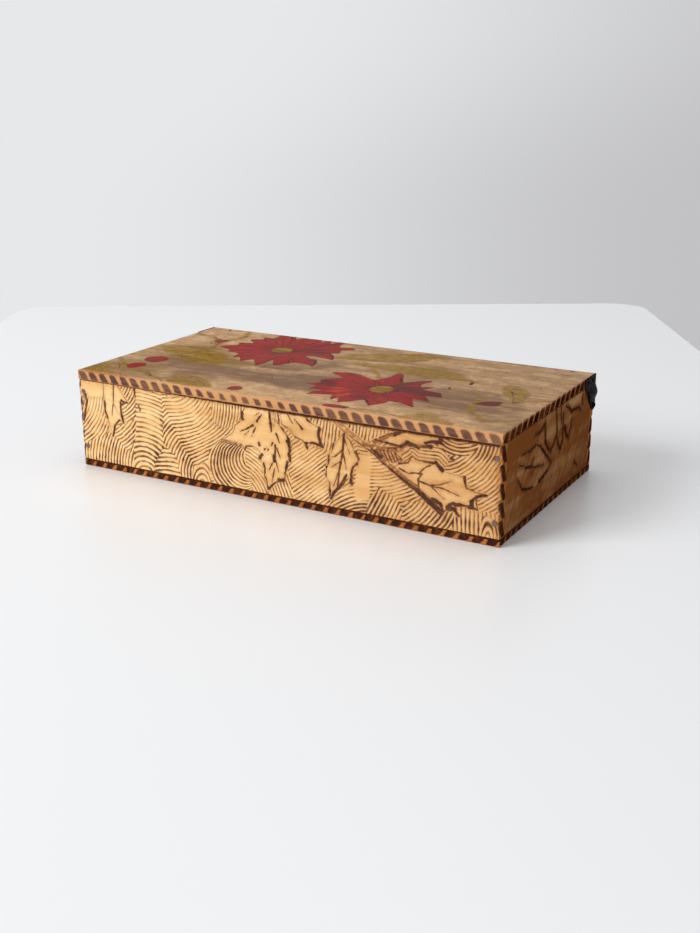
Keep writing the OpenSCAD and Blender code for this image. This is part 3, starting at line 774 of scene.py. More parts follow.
@dataclass
class Shop:
    """The shared effects, each built once."""

    grain: bpy.types.NodeTree = field(init=False)
    scorch: bpy.types.NodeTree = field(init=False)
    grime: bpy.types.NodeTree = field(init=False)

    def __post_init__(self) -> None:
        """Builds the groups."""
        self.grain = self._grain()
        self.scorch = self._scorch()
        self.grime = self._grime()

    def _grain(self) -> bpy.types.NodeTree:
        """Grain of basswood that runs along the first axis of the coordinates it is given."""
        t = Effect("basswood_grain")
        place = t.given["Vector"]
        wander = t.noise(t.stretched(place, (8, 30, 30)), 1, 2)
        place = t.value(0, "VectorMath", {0: place, 1: wander * 0.004}, operation="ADD")
        streak = t.noise(t.stretched(place, (7, 150, 150)), 1, 4, 0.6)
        fibre = t.noise(t.stretched(place, (70, 2200, 2200)), 1, 2)
        pore = t.noise(t.stretched(place, (320, 3600, 3600)), 1, 1)
        return t.gives(Streak=t.span(streak, 0.3, 0.7), Fibre=fibre, Pore=t.span(pore, 0.66, 0.74))

    def _scorch(self) -> bpy.types.NodeTree:
        """A burnt mark from the distance to its edge: its brown, its dark middle and its toasted rim."""
        t = Effect("scorch", "Distance", "Ragged")
        place = t.given["Vector"]
        ragged = t.noise(place, 1500, 2) - 0.5
        patchy = t.noise(place, 260, 2) - 0.5
        edge = t.given["Distance"] + ragged * t.given["Ragged"] + patchy * 0.25
        deep = t.span(edge, -0.2, -0.75)
        return t.gives(Core=t.span(edge, 0.1, -0.3), Deep=deep, Toast=t.span(edge, 0.5, -0.1))

    def _grime(self) -> bpy.types.NodeTree:
        """Patchy handling dirt and old varnish, from 0 to 1."""
        t = Effect("grime")
        broad = t.noise(t.given["Vector"], 22, 4, 0.6)
        speck = t.noise(t.given["Vector"], 700, 2, 0.6)
        return t.gives(Patch=t.span(broad, 0.42, 0.7), Speck=t.span(speck, 0.68, 0.76))


# Finishes


class Grain(Enum):
    """The way the grain runs in a board, as a turn about Z."""

    ALONG_LENGTH = 0.0
    ALONG_DEPTH = math.pi / 2


@dataclass(frozen=True)
class BurntWood:
    """Basswood under amber varnish, burnt with a hot point.

    Attributes:
        name: The material's name.
        pale: Colour of the wood where it is lightest.
        amber: Colour of the darker streaks.
        stain_and_shade: Colour of brown stain, and on the front board's face of painted shade.
        toast: Colour at the rim of a burnt mark.
        char: Colour of a burnt line.
        coal: Colour in the middle of a wide burnt mark.
        grain: The way the grain runs.
        gloss: Level of the varnish's shine.
    """

    name: str
    pale: Colour = (255, 214, 154)
    amber: Colour = (247, 197, 128)
    stain_and_shade: Colour = (116, 66, 33)
    toast: Colour = (152, 92, 46)
    char: Colour = (90, 47, 29)
    coal: Colour = (58, 31, 23)
    grain: Grain = Grain.ALONG_LENGTH
    gloss: float = 0.25

    def material(self, shop: Shop) -> bpy.types.Material:
        """Builds the material from the shared effects and the board's drawn numbers."""
        t = Finish(self.name)
        place = t.place()
        turned = t.value(0, "Mapping", {"Vector": place, "Rotation": (0, 0, -self.grain.value)})
        grain = t.use(shop.grain, turned)
        grime = t.use(shop.grime, place)

        wood = t.blend(grain["Streak"], self.pale, self.amber)
        wood = t.blend(grime["Patch"] * 0.35, wood, self.amber)
        wood = t.blend(grain["Pore"] * 0.16, wood, self.toast)
        # The brown share: stain, and on the front board's face painted shade that darkens it from left to
        # right.
        stain = t.read("stain_and_shade").most(0.0) + (grain["Streak"] - 0.5) * 0.16
        wood = t.blend(stain.least(1.0).clamped(), wood, self.stain_and_shade)
        scorched = 0.3 + t.span(t.noise(place, 90, 4, 0.65), 0.3, 0.7, 0.6)
        wood = t.blend(t.read("edge") * scorched, wood, self.toast)

        turn = t.read("echo_turn")
        swing = t.read("echo_swing")
        length = t.math("SQRT", turn * turn + swing * swing)
        angle = t.math("ARCCOSINE", t.math("DIVIDE", turn, length.most(0.01)))
        echo = angle * (EchoLines.pitch / (2 * math.pi)) - t.read("echo_press")
        line = t.use(shop.scorch, place, Distance=echo, Ragged=0.5)
        mark = t.use(shop.scorch, place, Distance=t.read("ink").least(t.read("rope")), Ragged=0.9)
        wash = t.read("wash") * t.span(t.noise(place, 420, 3), 0.25, 0.65)

        weight = 0.58 + t.span(t.noise(place, 150, 3), 0.35, 0.65, 0.2)
        weight = weight + t.span(t.read("echo_press"), 0.3, 0.56, 0.22)
        solid = 0.78 + t.span(t.noise(place, 330, 3), 0.3, 0.6, 0.2)
        toast = (line["Toast"] * 0.5).most(mark["Toast"].most(wash))
        core = (line["Core"] * weight).most(mark["Core"] * solid)
        deep = line["Deep"].most(mark["Deep"])
        colour = t.blend(toast * 0.85, wood, self.toast)
        colour = t.blend(core, colour, t.blend(deep, self.char, self.coal))
        rough = core * 0.2 + 0.46 + grime["Patch"] * 0.12
        relief = t.bump(grain["Fibre"] - core * 1.4, 0.00006)
        shine = self.gloss * (1.0 - t.read("edge")).clamped()
        return t.surface(colour, rough, Normal=relief, Specular_IOR_Level=shine)


@dataclass(frozen=True)
class PaintedWood:
    """The lid: aged basswood, stippled with a fine point, its flowers and leaves stained thinly."""

    name: str = "painted_basswood"
    tan: Colour = (224, 186, 140)
    dusty: Colour = (186, 144, 102)
    smoke: Colour = (112, 82, 60)
    haze: Colour = (128, 98, 48)
    red: Colour = (152, 34, 32)
    deep_red: Colour = (92, 32, 32)
    orange: Colour = (196, 66, 40)
    crimson: Colour = (154, 32, 42)
    olive: Colour = (158, 122, 40)
    deep_olive: Colour = (120, 90, 34)
    edge_wood: Colour = (214, 158, 106)
    edge_amber: Colour = (198, 138, 86)
    rope: Colour = (98, 66, 58)
    end_rope_painted_shade: Colour = (36, 20, 15)
    end_wood: Colour = (182, 108, 58)
    char: Colour = (50, 28, 26)

    def material(self, shop: Shop) -> bpy.types.Material:
        """Builds the material from the shared effects and the lid's drawn numbers."""
        t = Finish(self.name)
        place = t.place()
        grain = t.use(shop.grain, place)
        grime = t.use(shop.grime, place)
        ragged = (t.noise(place, 900, 3, 0.6) - 0.5) * 1.5
        frayed = (t.noise(place, 360, 4, 0.7) - 0.5) * 3.4
        flow = t.noise(t.stretched(place, (30, 150, 150)), 1, 4, 0.6)
        dots = {"Vector": place, "Scale": 620.0, "Randomness": 0.75}
        pit = t.span(t.value("Distance", "TexVoronoi", dots, feature="F1"), 0.42, 0.2)
        broken = t.span(t.noise(t.stretched(place, (190, 300, 300)), 1, 5, 0.75), 0.32, 0.66)
        blotch = t.span(t.noise(t.stretched(place, (70, 110, 110)), 1, 4, 0.7), 0.36, 0.62)
        fleck = t.span(t.noise(place, 420, 3, 0.6), 0.6, 0.72)

        ground = t.blend(grain["Streak"] * 0.4, self.tan, self.dusty)
        ground = t.blend(blotch * 0.75, ground, self.dusty)
        ground = t.blend(fleck * 0.35, ground, self.tan)
        ground = t.blend(broken * 0.34, ground, self.smoke)
        smoke = (t.read("wash") + (flow - 0.5) * 0.9).clamped()
        ground = t.blend(smoke * 0.85, ground, self.smoke)
        ground = t.blend(t.read("stain_and_shade") * t.span(flow, 0.2, 0.6), ground, self.haze)
        ground = t.blend(pit * 0.4, ground, self.smoke)

        leaf = t.span(t.read("olive") + frayed, 1.4, -1.4) * (0.72 + t.span(flow, 0.35, 0.6, 0.28))
        green = t.blend(broken, self.olive, self.deep_olive)
        green = t.blend(pit * 0.5, green, self.deep_olive)
        ground = t.blend(leaf * 0.86, ground, green)

        bloom = t.span(t.read("red") + ragged, 0.4, -0.3)
        tint = t.read("tint") + (flow - 0.5) * 0.8
        rose = t.blend(t.span(t.noise(place, 60, 2), 0.5, 0.7), self.red, self.crimson)
        rose = t.blend(t.span(tint, 0.0, -0.8), rose, self.deep_red)
        rose = t.blend(t.span(tint, 0.35, 1.1), rose, self.orange)
        rose = t.blend(pit.most(broken) * 0.4, rose, self.deep_red)
        colour = t.blend(bloom * 0.95, ground, rose)
        heart = t.span(t.read("heart") + ragged, 0.9, -0.7)
        pollen = t.blend(t.span(flow, 0.4, 0.6), self.olive, self.deep_olive)
        colour = t.blend(heart, colour, t.blend(pit * 0.8, pollen, self.smoke))

        crease = t.span(t.read("petal") + ragged * 0.3, 0.6, 0.1)
        crease = crease * t.span(t.noise(place, 160, 2), 0.35, 0.6, 0.65)
        mark = t.use(shop.scorch, place, Distance=t.read("ink"), Ragged=1.2)
        colour = t.blend(crease.most(mark["Core"] * 0.92), colour, self.char)
        colour = t.blend(t.read("worn").most(grime["Speck"]) * 0.5, colour, self.edge_wood)

        # Painted shade: on both of the lid's ends the sides take darker wood and rope colours, standing in
        # for the shade that falls there.
        end = t.read("stain_and_shade")
        side = t.blend(grain["Streak"], self.edge_wood, self.edge_amber)
        side = t.blend(end, side, self.end_wood)
        burnt = t.span(t.read("rope") + ragged * 0.6, 0.7, -0.6) * (0.8 + t.span(flow, 0.4, 0.6, 0.2))
        side = t.blend(burnt, side, t.blend(end, self.rope, self.end_rope_painted_shade))
        colour = t.blend(t.span(t.read("edge"), 0.2, 0.8), colour, side)

        rough = 0.6 + grime["Patch"] * 0.12
        relief = t.bump(grain["Fibre"] * 0.5 - pit, 0.00012)
        shine = 0.1 * (1.0 - end).clamped()
        return t.surface(colour, rough, Normal=relief, Specular_IOR_Level=shine)


@dataclass(frozen=True)
class BareWood:
    """Bare basswood, as on the inside and the underside."""

    name: str = "bare_basswood"
    pale: Colour = (222, 186, 142)
    dark: Colour = (196, 152, 106)
    pore: Colour = (150, 106, 70)

    def material(self, shop: Shop) -> bpy.types.Material:
        """Builds the material."""
        t = Finish(self.name)
        place = t.place()
        grain = t.use(shop.grain, place)
        wood = t.blend(grain["Streak"], self.pale, self.dark)
        wood = t.blend(t.use(shop.grime, place)["Patch"] * 0.4, wood, self.dark)
        wood = t.blend(grain["Pore"] * 0.3, wood, self.pore)
        return t.surface(wood, 0.66, Normal=t.bump(grain["Fibre"], 0.00008), Specular_IOR_Level=0.25)


@dataclass(frozen=True)
class Steel:
    """Old steel with specks of rust and bright patches, which are wear and, on the blackened steel, also
    painted sheen.

    Attributes:
        name: The material's name.
        skin: Colour of the blackened or oxidised skin.
        worn_and_sheen: Colour of the bright patches, worn and painted sheen.
        rust: Colour of the rust.
        worn_and_sheen_share: How much of it is bright patches, 0 to 1.
        metal: How metallic it is where no rust shows.
        shine: Level of its mirror reflection.
    """

    name: str
    skin: Colour
    worn_and_sheen: Colour
    rust: Colour = (96, 58, 38)
    worn_and_sheen_share: float = 0.5
    metal: float = 0.85
    shine: float = 0.5

    def material(self, shop: Shop) -> bpy.types.Material:
        """Builds the material."""
        t = Finish(self.name)
        place = t.place()
        # Bright patches: wear, and on the blackened steel also painted sheen.
        worn_and_sheen_noise = t.noise(t.stretched(place, (300, 300, 90)), 1, 3, 0.6)
        colour = t.blend(t.span(worn_and_sheen_noise, 0.75 - 0.4 * self.worn_and_sheen_share, 0.9), self.skin, self.worn_and_sheen)
        spots = t.span(t.noise(place, 900, 3, 0.6), 0.56, 0.66) * 0.7
        colour = t.blend(spots, colour, self.rust)
        rough = 0.5 + t.use(shop.grime, place)["Patch"] * 0.2
        metal = self.metal - spots * self.metal
        relief = t.bump(t.noise(place, 1800, 3), 0.00004)
        return t.surface(colour, rough, Normal=relief, Metallic=metal, Specular_IOR_Level=self.shine)


# Boards


class Facing(Enum):
    """The way a board's drawn face looks: its right, its down and its inward direction."""

    FRONT = ((1, 0, 0), (0, 0, -1), (0, 1, 0))
    BACK = ((-1, 0, 0), (0, 0, -1), (0, -1, 0))
    RIGHT = ((0, 1, 0), (0, 0, -1), (-1, 0, 0))
    LEFT = ((0, -1, 0), (0, 0, -1), (1, 0, 0))
    UP = ((1, 0, 0), (0, -1, 0), (0, 0, -1))


@dataclass
class EchoLines:
    """Burnt lines that repeat the outlines beside them, as numbers at each vertex.

    Attributes:
        pitch: Distance from one line to the next.
        width: Width of a line.
        cut: How deep it is burnt in.
    """

    pitch: float = 2.2
    width: float = 0.8
    cut: float = 0.2

    def fields(self, level: np.ndarray, press: np.ndarray, keep_off: np.ndarray) -> Fields:
        """Turns a field into the numbers that the finish reads.

        Args:
            level: The field whose level lines are burnt, in millimetres.
            press: How much wider or narrower the lines are, in millimetres.
            keep_off: Distance from what the lines stop at.

        Returns:
            The field as a turn and a swing, which blend cleanly where two fields meet, and half the
            lines' width.
        """
        angle = level * (2 * math.pi / self.pitch)
        half = self.width / 2 + press - 3 * ease(keep_off, 0.9, 0.1)
        return {"echo_turn": np.cos(angle), "echo_swing": np.sin(angle), "echo_press": half}

    def groove(self, fields: Fields) -> np.ndarray:
        """How deep the board is cut by the lines."""
        away = np.arccos(np.clip(fields["echo_turn"], -1, 1)) * self.pitch / (2 * math.pi)
        return self.cut * ease(away - fields["echo_press"], 0.35, -0.25)


@dataclass
class Notches:
    """A row of round troughs burnt across the edge of a board, as part.scad cuts them.

    Attributes:
        width: Width of a notch at its deep end.
        depth: Depth at its deep end.
        fade: Depth at its other end.
        height: Distance between the two ends.
        lean: How far the notch leans along the edge over its height.
        start: Where the row starts.
        stop: Where it stops.
        pitch: Smallest distance from one notch to the next.
        burnt: How much of a notch's width is burnt dark.
        corner: Radius of the burnt patch's corners.
        reach: How far up the burnt patch goes, or 0 for as far as the notch.
        taper: How much narrower the burnt patch is at the notch's other end.
        uneven: How far the burnt patch's edge strays.
    """

    width: float
    depth: float
    fade: float
    height: float
    lean: float
    start: float
    stop: float
    pitch: float = 8.2
    burnt: float = 0.95
    corner: float = 1.3
    reach: float = 0.0
    taper: float = 0.15
    uneven: float = 0.35

    def __post_init__(self) -> None:
        """Works out how tall the burnt patch is."""
        self.tall = self.reach or self.height

    def cut(self, along: np.ndarray, up: np.ndarray) -> tuple[np.ndarray, np.ndarray]:
        """Measures the troughs.

        Args:
            along: Place along the edge.
            up: Distance from the deep end.

        Returns:
            How deep the edge is cut there, and the distance from the nearest notch's burnt patch.
        """
        count = math.floor((self.stop - self.start) / self.pitch)
        step = (self.stop - self.start) / count
        radius = (self.width**2 / 4 + self.depth**2) / (2 * self.depth)
        share = up / self.height
        middle = self.depth - radius + (self.fade - self.depth) * share
        across = (along - self.start + self.lean / 2 - self.lean * share) % step - step / 2
        across = np.abs(across) * math.cos(math.atan2(self.lean, self.height))
        depth = middle + np.sqrt(np.maximum(radius**2 - across**2, 0))
        half = self.burnt * self.width / 2 * (1 - self.taper * share)
        half = half + self.uneven * cloud(along, up, 3.4, 7)
        tall = np.abs(up - self.tall / 2) - self.tall / 2 + 0.2
        corner = min(self.corner, 0.45 * self.width)
        outside = np.hypot(np.maximum(across - half + corner, 0), np.maximum(tall + corner, 0))
        rim = outside + np.minimum(np.maximum(across - half, tall) + corner, 0) - corner
        row = (along > self.start - 0.01) & (along < self.stop + 0.01)
        return np.where(row, np.maximum(depth, 0), 0), np.where(row, rim, FAR)


@dataclass
class Board:
    """A closed board: a dense drawn face, its edges in rows, and its far face in one piece.

    Attributes:
        name: Name of the piece.
        node: The CAD node that it stands for.
        slot: The record's material slot of its finish; not used.
        body: The body that it rides on.
        facing: The way its drawn face looks.
        spacing: Size of the drawn face's mesh.
        rounding: Width of the eased arris.
        rows: Rows of faces across the edge.
        plain_face: Whether the face is left in one piece, with nothing drawn on it.
        hollow: How far the far face is sunk, so that nail heads stand clear of it.
    """

    name: str
    node: str
    slot: str
    body: str
    facing: Facing
    spacing: float
    rounding: float
    rows: int = 8
    plain_face: bool = False
    hollow: float = 0.0

    def __post_init__(self) -> None:
        """Works out the board's corner and sizes from the CAD node's box."""
        self.low, self.high = (np.array(corner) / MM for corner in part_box(self.node))
        self.ways = np.array(self.facing.value, float)
        self.corner = np.where(self.ways.sum(axis=0) > 0, self.low, self.high)
        self.length, self.height, self.thick = np.abs(self.ways @ (self.high - self.low))

    def _blank(self) -> bpy.types.Mesh:
        """Builds the plain board flat: x to the right, y up and the drawn face at the top."""
        blank = bmesh.new()
        inset = self.rounding
        across = round((self.length - 2 * inset) / self.spacing)
        down = round((self.height - 2 * inset) / self.spacing)
        bmesh.ops.create_grid(blank, x_segments=across, y_segments=down, size=0.5)
        size = Vector((self.length - 2 * inset, self.height - 2 * inset, 1))
        bmesh.ops.scale(blank, vec=size, verts=blank.verts)
        if self.plain_face:
            bmesh.ops.dissolve_faces(blank, faces=blank.faces[:])
        edges = [e for e in blank.edges if e.is_boundary]
        straight = (self.thick - 2 * inset) / self.rows
        steps = [(0.3 * inset, 0.3 * inset), (0, 0.7 * inset)]
        steps += [(0, straight)] * self.rows
        steps += [(inset, inset)]
        if self.hollow:
            steps += [(inset + 0.8, 0), (inset + 1.0, -self.hollow)]
        for next_inset, drop in steps:
            grown = bmesh.ops.extrude_edge_only(blank, edges=edges)["geom"]
            verts = [g for g in grown if isinstance(g, bmesh.types.BMVert)]
            edges = [g for g in grown if isinstance(g, bmesh.types.BMEdge) and g.is_boundary]
            wider = Vector((self.length - 2 * next_inset, self.height - 2 * next_inset, 1))
            bmesh.ops.scale(blank, vec=Vector((wider.x / size.x, wider.y / size.y, 1)), verts=verts)
            bmesh.ops.translate(blank, vec=Vector((0, 0, -drop)), verts=verts)
            size = wider
        bmesh.ops.contextual_create(blank, geom=edges)
        for face in blank.faces:
            face.material_index = int(len(face.verts) > 4)
        bmesh.ops.recalc_face_normals(blank, faces=blank.faces)
        return meshed(self.name, blank)

    def fields(self, face: Face) -> tuple[Fields, np.ndarray]:
        """The drawing on the face: its numbers at each vertex, and how deep it is cut."""
        return {}, np.zeros(face.x.shape)

    def notch(self, places: np.ndarray) -> np.ndarray:
        """Cuts the notches of the edges into the places and returns the distance from their rims."""
        return np.full(len(places), FAR)

    def side_tone(self, places: np.ndarray) -> np.ndarray:
        """How brown the board's sides are coloured: stain on the long boards, painted shade on the lid's
        ends.
        """
        return np.zeros(len(places))

    def press(self, places: np.ndarray, axis: int, side: int, cut: np.ndarray) -> np.ndarray:
        """Presses one side of the board in.

        Args:
            places: The board's vertices, which are moved.
            axis: The axis that the side faces.
            side: The way it faces, -1 or 1.
            cut: How deep the side is cut at each vertex.

        Returns:
            Whether each vertex lies on that side.
        """
        limit = self.high[axis] if side > 0 else -self.low[axis]
        on_side = side * places[:, axis] > limit - self.rounding - 0.05
        pressed = np.minimum(side * places[:, axis], limit - cut)
        places[:, axis] = np.where(on_side, side * pressed, places[:, axis])
        return on_side

    def notched(self, places: np.ndarray, along: Notches, ends: Notches, up: np.ndarray) -> np.ndarray:
        """Cuts a row of notches into each of the board's four sides.

        Args:
            places: The board's vertices, which are moved.
            along: The row of the front and the back.
            ends: The row of the two ends.
            up: Distance of each vertex from the notches' deep end.

        Returns:
            The distance from the nearest notch's rim.
        """
        rim = np.full(len(places), FAR)
        for axis, side, row in ((1, -1, along), (1, 1, along), (0, 1, ends), (0, -1, ends)):
            cut, away = row.cut(places[:, 1 - axis], up)
            on_side = self.press(places, axis, side, cut)
            rim = np.where(on_side, np.minimum(rim, away), rim)
        return rim

    def build(self, drawn: bpy.types.Material, bare: bpy.types.Material) -> bpy.types.Object:
        """Makes the board.

        Args:
            drawn: Finish of the face and the edges.
            bare: Finish of the far face.

        Returns:
            The board's object, riding on its body in place of its CAD node.
        """
        mesh = self._blank()
        flat = np.zeros(len(mesh.vertices) * 3, np.float32)
        mesh.vertices.foreach_get("co", flat)
        flat = flat.reshape(-1, 3).astype(float)
        own = np.stack([flat[:, 0] + self.length / 2, self.height / 2 - flat[:, 1], -flat[:, 2]], axis=1)
        on_face = own[:, 2] < 1e-4
        near_face = own[:, 2] < self.rounding + 0.05
        drawing, depth = self.fields(Face(own[near_face, 0], own[near_face, 1]))
        own[near_face, 2] += depth * on_face[near_face]
        places = self.corner + own @ self.ways
        numbers = {key: np.full(len(own), value) for key, value in NOT_DRAWN.items()}
        numbers["stain_and_shade"] = self.side_tone(places)
        for key, values in drawing.items():
            numbers[key][near_face] = values
        numbers["rope"] = self.notch(places)
        numbers["edge"] = np.where(on_face, 0.0, 1.0)
        mesh.vertices.foreach_set("co", (places * MM).astype(np.float32).ravel())
        for key, values in numbers.items():
            mesh.attributes.new(key, "FLOAT", "POINT").data.foreach_set("value", values.astype(np.float32))
        mesh.materials.append(drawn)
        mesh.materials.append(bare)
        mesh.shade_smooth()
        mesh.set_sharp_from_angle(angle=SHARP)
        for polygon in mesh.polygons:
            polygon.use_smooth = polygon.material_index == 0
        mesh.update()
        board = placed(self.name, mesh)
        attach(board, self.body)
        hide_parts(self.node)
        log.info("%s: %d vertices, stands for %s", self.name, len(mesh.vertices), self.node)
        return board


@dataclass
class LongBoard(Board):
    """A long wall: two nail heads sunk at each end, and long notches that run off its corners.

    Attributes:
        side: -1 for the front board, 1 for the back board.
        notches: Notches down each corner, from the base up.
        pitch: Height of one corner notch.
        reach: How far a corner notch leans in from the corner.
        nail_z: Heights of the nails.
        nail_inset: Distance of the nails from the ends.
        nail_sink: How deep the wood is pressed in around a nail head.
        nail_rim: Radius of the dark rim around a nail head.
        ink_cut: How deep the outlines and veins are burnt in.
        echo: The board's echo lines.
    """

    side: int = -1
    notches: int = 5
    pitch: float = 10.6
    reach: float = 4.6
    nail_z: tuple[float, ...] = (50.0, 13.5)
    nail_inset: float = 3.2
    nail_sink: float = 0.62
    nail_rim: float = 1.55
    ink_cut: float = 0.28
    echo: EchoLines = field(default_factory=EchoLines)

    def notch(self, places: np.ndarray) -> np.ndarray:
        """Cuts the corner notches into the end grain."""
        row = Notches(
            width=2.8, depth=0.6, fade=0.0, height=self.pitch, lean=self.reach,
            start=-20, stop=20, pitch=40, burnt=1.9, corner=0.4,
        )
        along = HALF_DEPTH + self.side * -places[:, 1] - self.reach / 2
        rim = np.full(len(places), FAR)
        for i in range(1, self.notches + 1):
            up = BASE_TOP + i * self.pitch - places[:, 2]
            cut, away = row.cut(along, up)
            inside = (up > -0.3) & (up < self.pitch + 0.3)
            for way in (-1, 1):
                on_side = self.press(places, 0, way, np.where(inside, cut, 0))
                rim = np.where(on_side & inside, np.minimum(rim, away), rim)
        return rim

    def side_tone(self, places: np.ndarray) -> np.ndarray:
        """The end grain is brown all over."""
        return np.full(len(places), 0.9)

    def corner_burns(self, face: Face) -> np.ndarray:
        """Distance from the dark blots that the corner notches leave at both ends of the face."""
        phase = ((RIM - BASE_TOP - face.y) / self.pitch) % 1
        wide = 1.3 * ease(phase, 0.3, 0.7) * ease(phase, 1.0, 0.9)
        return np.minimum(face.x, self.length - face.x) - wide + 0.3 * face.cloud(3, 11)

    def nail_holes(self, face: Face) -> np.ndarray:
        """Distance from the nearest nail's middle."""
        across = (self.nail_inset, self.length - self.nail_inset)
        return np.minimum.reduce([face.ring(x, self.high[2] - z) for z in self.nail_z for x in across])

    def sink_nails(self, face: Face, numbers: Fields, depth: np.ndarray) -> np.ndarray:
        """Presses the face in around its nail heads, and darkens their rims.

        Args:
            face: The places on the face.
            numbers: The face's numbers, whose ink is brought nearer at the rims.
            depth: How deep the drawing is cut.

        Returns:
            The depth with the nail holes in it.
        """
        away = self.nail_holes(face)
        numbers["ink"] = np.minimum(numbers["ink"], np.abs(away - self.nail_rim) - 0.1)
        return np.maximum(depth * ease(away, 1.2, 2.0), self.nail_sink * ease(away, 1.8, 1.3))


@dataclass
class FrontBoard(LongBoard):
    """The front board: leaf sprays over echo lines, and long notches that run off its ends."""

    def echoes(self, face: Face) -> np.ndarray:
        """The field whose level lines are the burnt echo lines of the front, counted in lines."""
        heart = face.ring(50.5, 57)
        arcs = np.minimum(heart, 42) / 3.2 + np.maximum(heart - 42, 0) / 2.5
        fan = 72.9 - face.stroke([(50, -10), (74, -14)])
        fan = fan - 0.15 * np.maximum(face.x - 80, 0) * ease(face.y, 15, 35)
        steep = face.ring(101, 50) - 1 - 2 * np.maximum(face.x - 88, 0)
        bowed = 12 - face.drifting(132, 33.6, 8.4, (-1.29, 0.77), 1.11)
        wall = face.x - (0.010 + 0.0002 * face.x) * (54 - face.y) ** 2
        curved = face.x + 0.012 * face.y**2
        low_arcs = face.ring(118, 62)
        low_fan = face.ring(206, -24)
        corner = face.ring(285, 56, tall=1 / 0.35)
        level = np.maximum(fan, steep) / 2.35
        # Each area's outline, the distance that its lines count, and how far apart they are
        areas = [
            (
                [(45.5, -2), (66.5, -2), (66.5, 34), (58, 48), (57, 60), (41, 60), (42, 34), (45, 22)],
                arcs, 1,
            ),
            ([(67, 34), (75, 41), (79.6, 56), (56, 56), (59, 46)], face.ring(72, 95), 2.8),
            ([(87, 60), (88, 47), (94, 42), (100, 40), (104, 60)], face.ring(95, 60, tall=2), 1.9),
            ([(45.5, -2), (45.5, 20), (44, 25), (30, 27), (24, 30), (32, -2)], face.ring(24, -5), 2.1),
            ([(-2, -2), (24, -2), (25, 30), (19, 34), (-2, 44)], face.ring(-20, 5), 2.3),
            ([(103, -2), (131, -2), (128, 9), (121, 14), (112, 17), (106, 14.5), (104, 6)], curved, 2.1),
            (
                [(107, 60), (100, 42), (101, 33), (109.5, 23), (128, 25), (128.5, 38), (131, 44), (136, 60)],
                bowed, 1,
            ),
            ([(128, 24), (146, 24), (146, 60), (135, 60), (131, 44), (128.5, 38)], low_arcs, 2.2),
            ([(-2, 44), (19, 34), (25, 29), (30, 27), (44, 24), (42, 34), (41, 60), (-2, 60)], wall, 2.45),
            ([(25, 30), (35, 24.6), (45.5, 20), (43.5, 34), (38, 42), (30, 36)], face.ring(6, -6), 2.2),
            ([(143.4, 60), (143.4, 40), (151, -4), (300, -4), (300, 60)], face.rays(51), 2.05),
            ([(143, 60), (143, 44), (156, 32), (160, 40), (161.5, 56)], face.rays(-24), 2.2),
            ([(168, -4), (192, -4), (196, 12), (188, 20), (176, 18)], face.rays(10), 2.15),
            ([(192, -4), (236, -4), (222, 8), (210, 10), (200, 6)], face.rays(12), 2.2),
            ([(203, 10), (212, 13), (258, 43), (268, 60), (210, 60), (211, 30), (206, 16)], low_fan, 2.1),
            ([(185, 60), (187, 50), (192, 42), (201, 38), (212, 36), (213, 60)], face.ring(213, 78), 2.2),
            ([(234, 41), (256, 38), (268, 44), (268, 60), (232, 60)], face.ring(212, 18), 2.3),
            ([(209, 60), (212, 43), (219, 35.5), (232, 43), (235, 60)], face.rays(27), 2.4),
            (
                [(254, -4), (296, -4), (296, 60), (263, 60), (266, 44), (280, 30), (258, 19), (262, 12)],
                face.ring(254, -6), 2.1,
            ),
            ([(262, 60), (266, 36), (296, 40), (296, 60)], face.rays(-2), 2.5),
            ([(252, -4), (284, -4), (272, 9.4), (258, 9.8), (250, 6)], face.ring(266, -14), 2.1),
            ([(236, 8), (256, 6), (262, 12), (258, 19), (239, 14)], face.patch(LOBED_LEAF), 2.0),
            ([(280.5, 60), (281, 43), (284, 40), (292, 44), (292, 60)], corner, 1.9),
        ]
        for outline, echo, gap in areas:
            level = np.where(face.within(outline), echo / gap, level)
        return level

    def pressure(self, face: Face) -> np.ndarray:
        """How much wider than usual the echo lines are burnt, and where they fade out, in millimetres."""
        heavy = [
            ([(22, 44), (22, 52)], 22), ([(66, 16), (67, 34), (59, 46), (58, 53)], 3.5),
            ([(70, 24), (84, 36), (86, 53)], 8), ([(120, 26), (106, 36), (112, 52)], 10),
            ([(45.6, 10), (42, 34)], 1.6), ([(256, 47), (290, 47)], 7), ([(60, 30), (62, 52)], 5),
            ([(188, 47), (208, 51)], 8), ([(180, 34), (208, 32)], 9), ([(260, 3), (284, 5)], 10),
            ([(212, 46), (222, 50)], 6),
        ]
        light = [
            ([(52, 6), (60, 24)], 12), ([(12, 14), (14, 30)], 9), ([(76, 6), (96, 8)], 10),
            ([(166, 24), (184, 40)], 15), ([(214, 24), (228, 36)], 9), ([(96, 46), (96, 53)], 5),
        ]
        press = 0.12 * face.cloud(14, 9) + 0.16 * face.cloud(2.6, 10) - 0.03
        for marks, reach in heavy:
            press += 0.26 * ease(face.stroke(marks), reach, 0)
        for marks, reach in light:
            press -= 0.2 * ease(face.stroke(marks), reach, 0)
        plain = face.patches([
            [(-2, -2), (20, -2), (20, 7), (9, 9), (-2, 9)],
            [(206, 20), (212, 19), (211.4, 44), (205, 46), (203.6, 38)],
        ])
        return press - 1.5 * ease(plain, 2.4, -1.6)

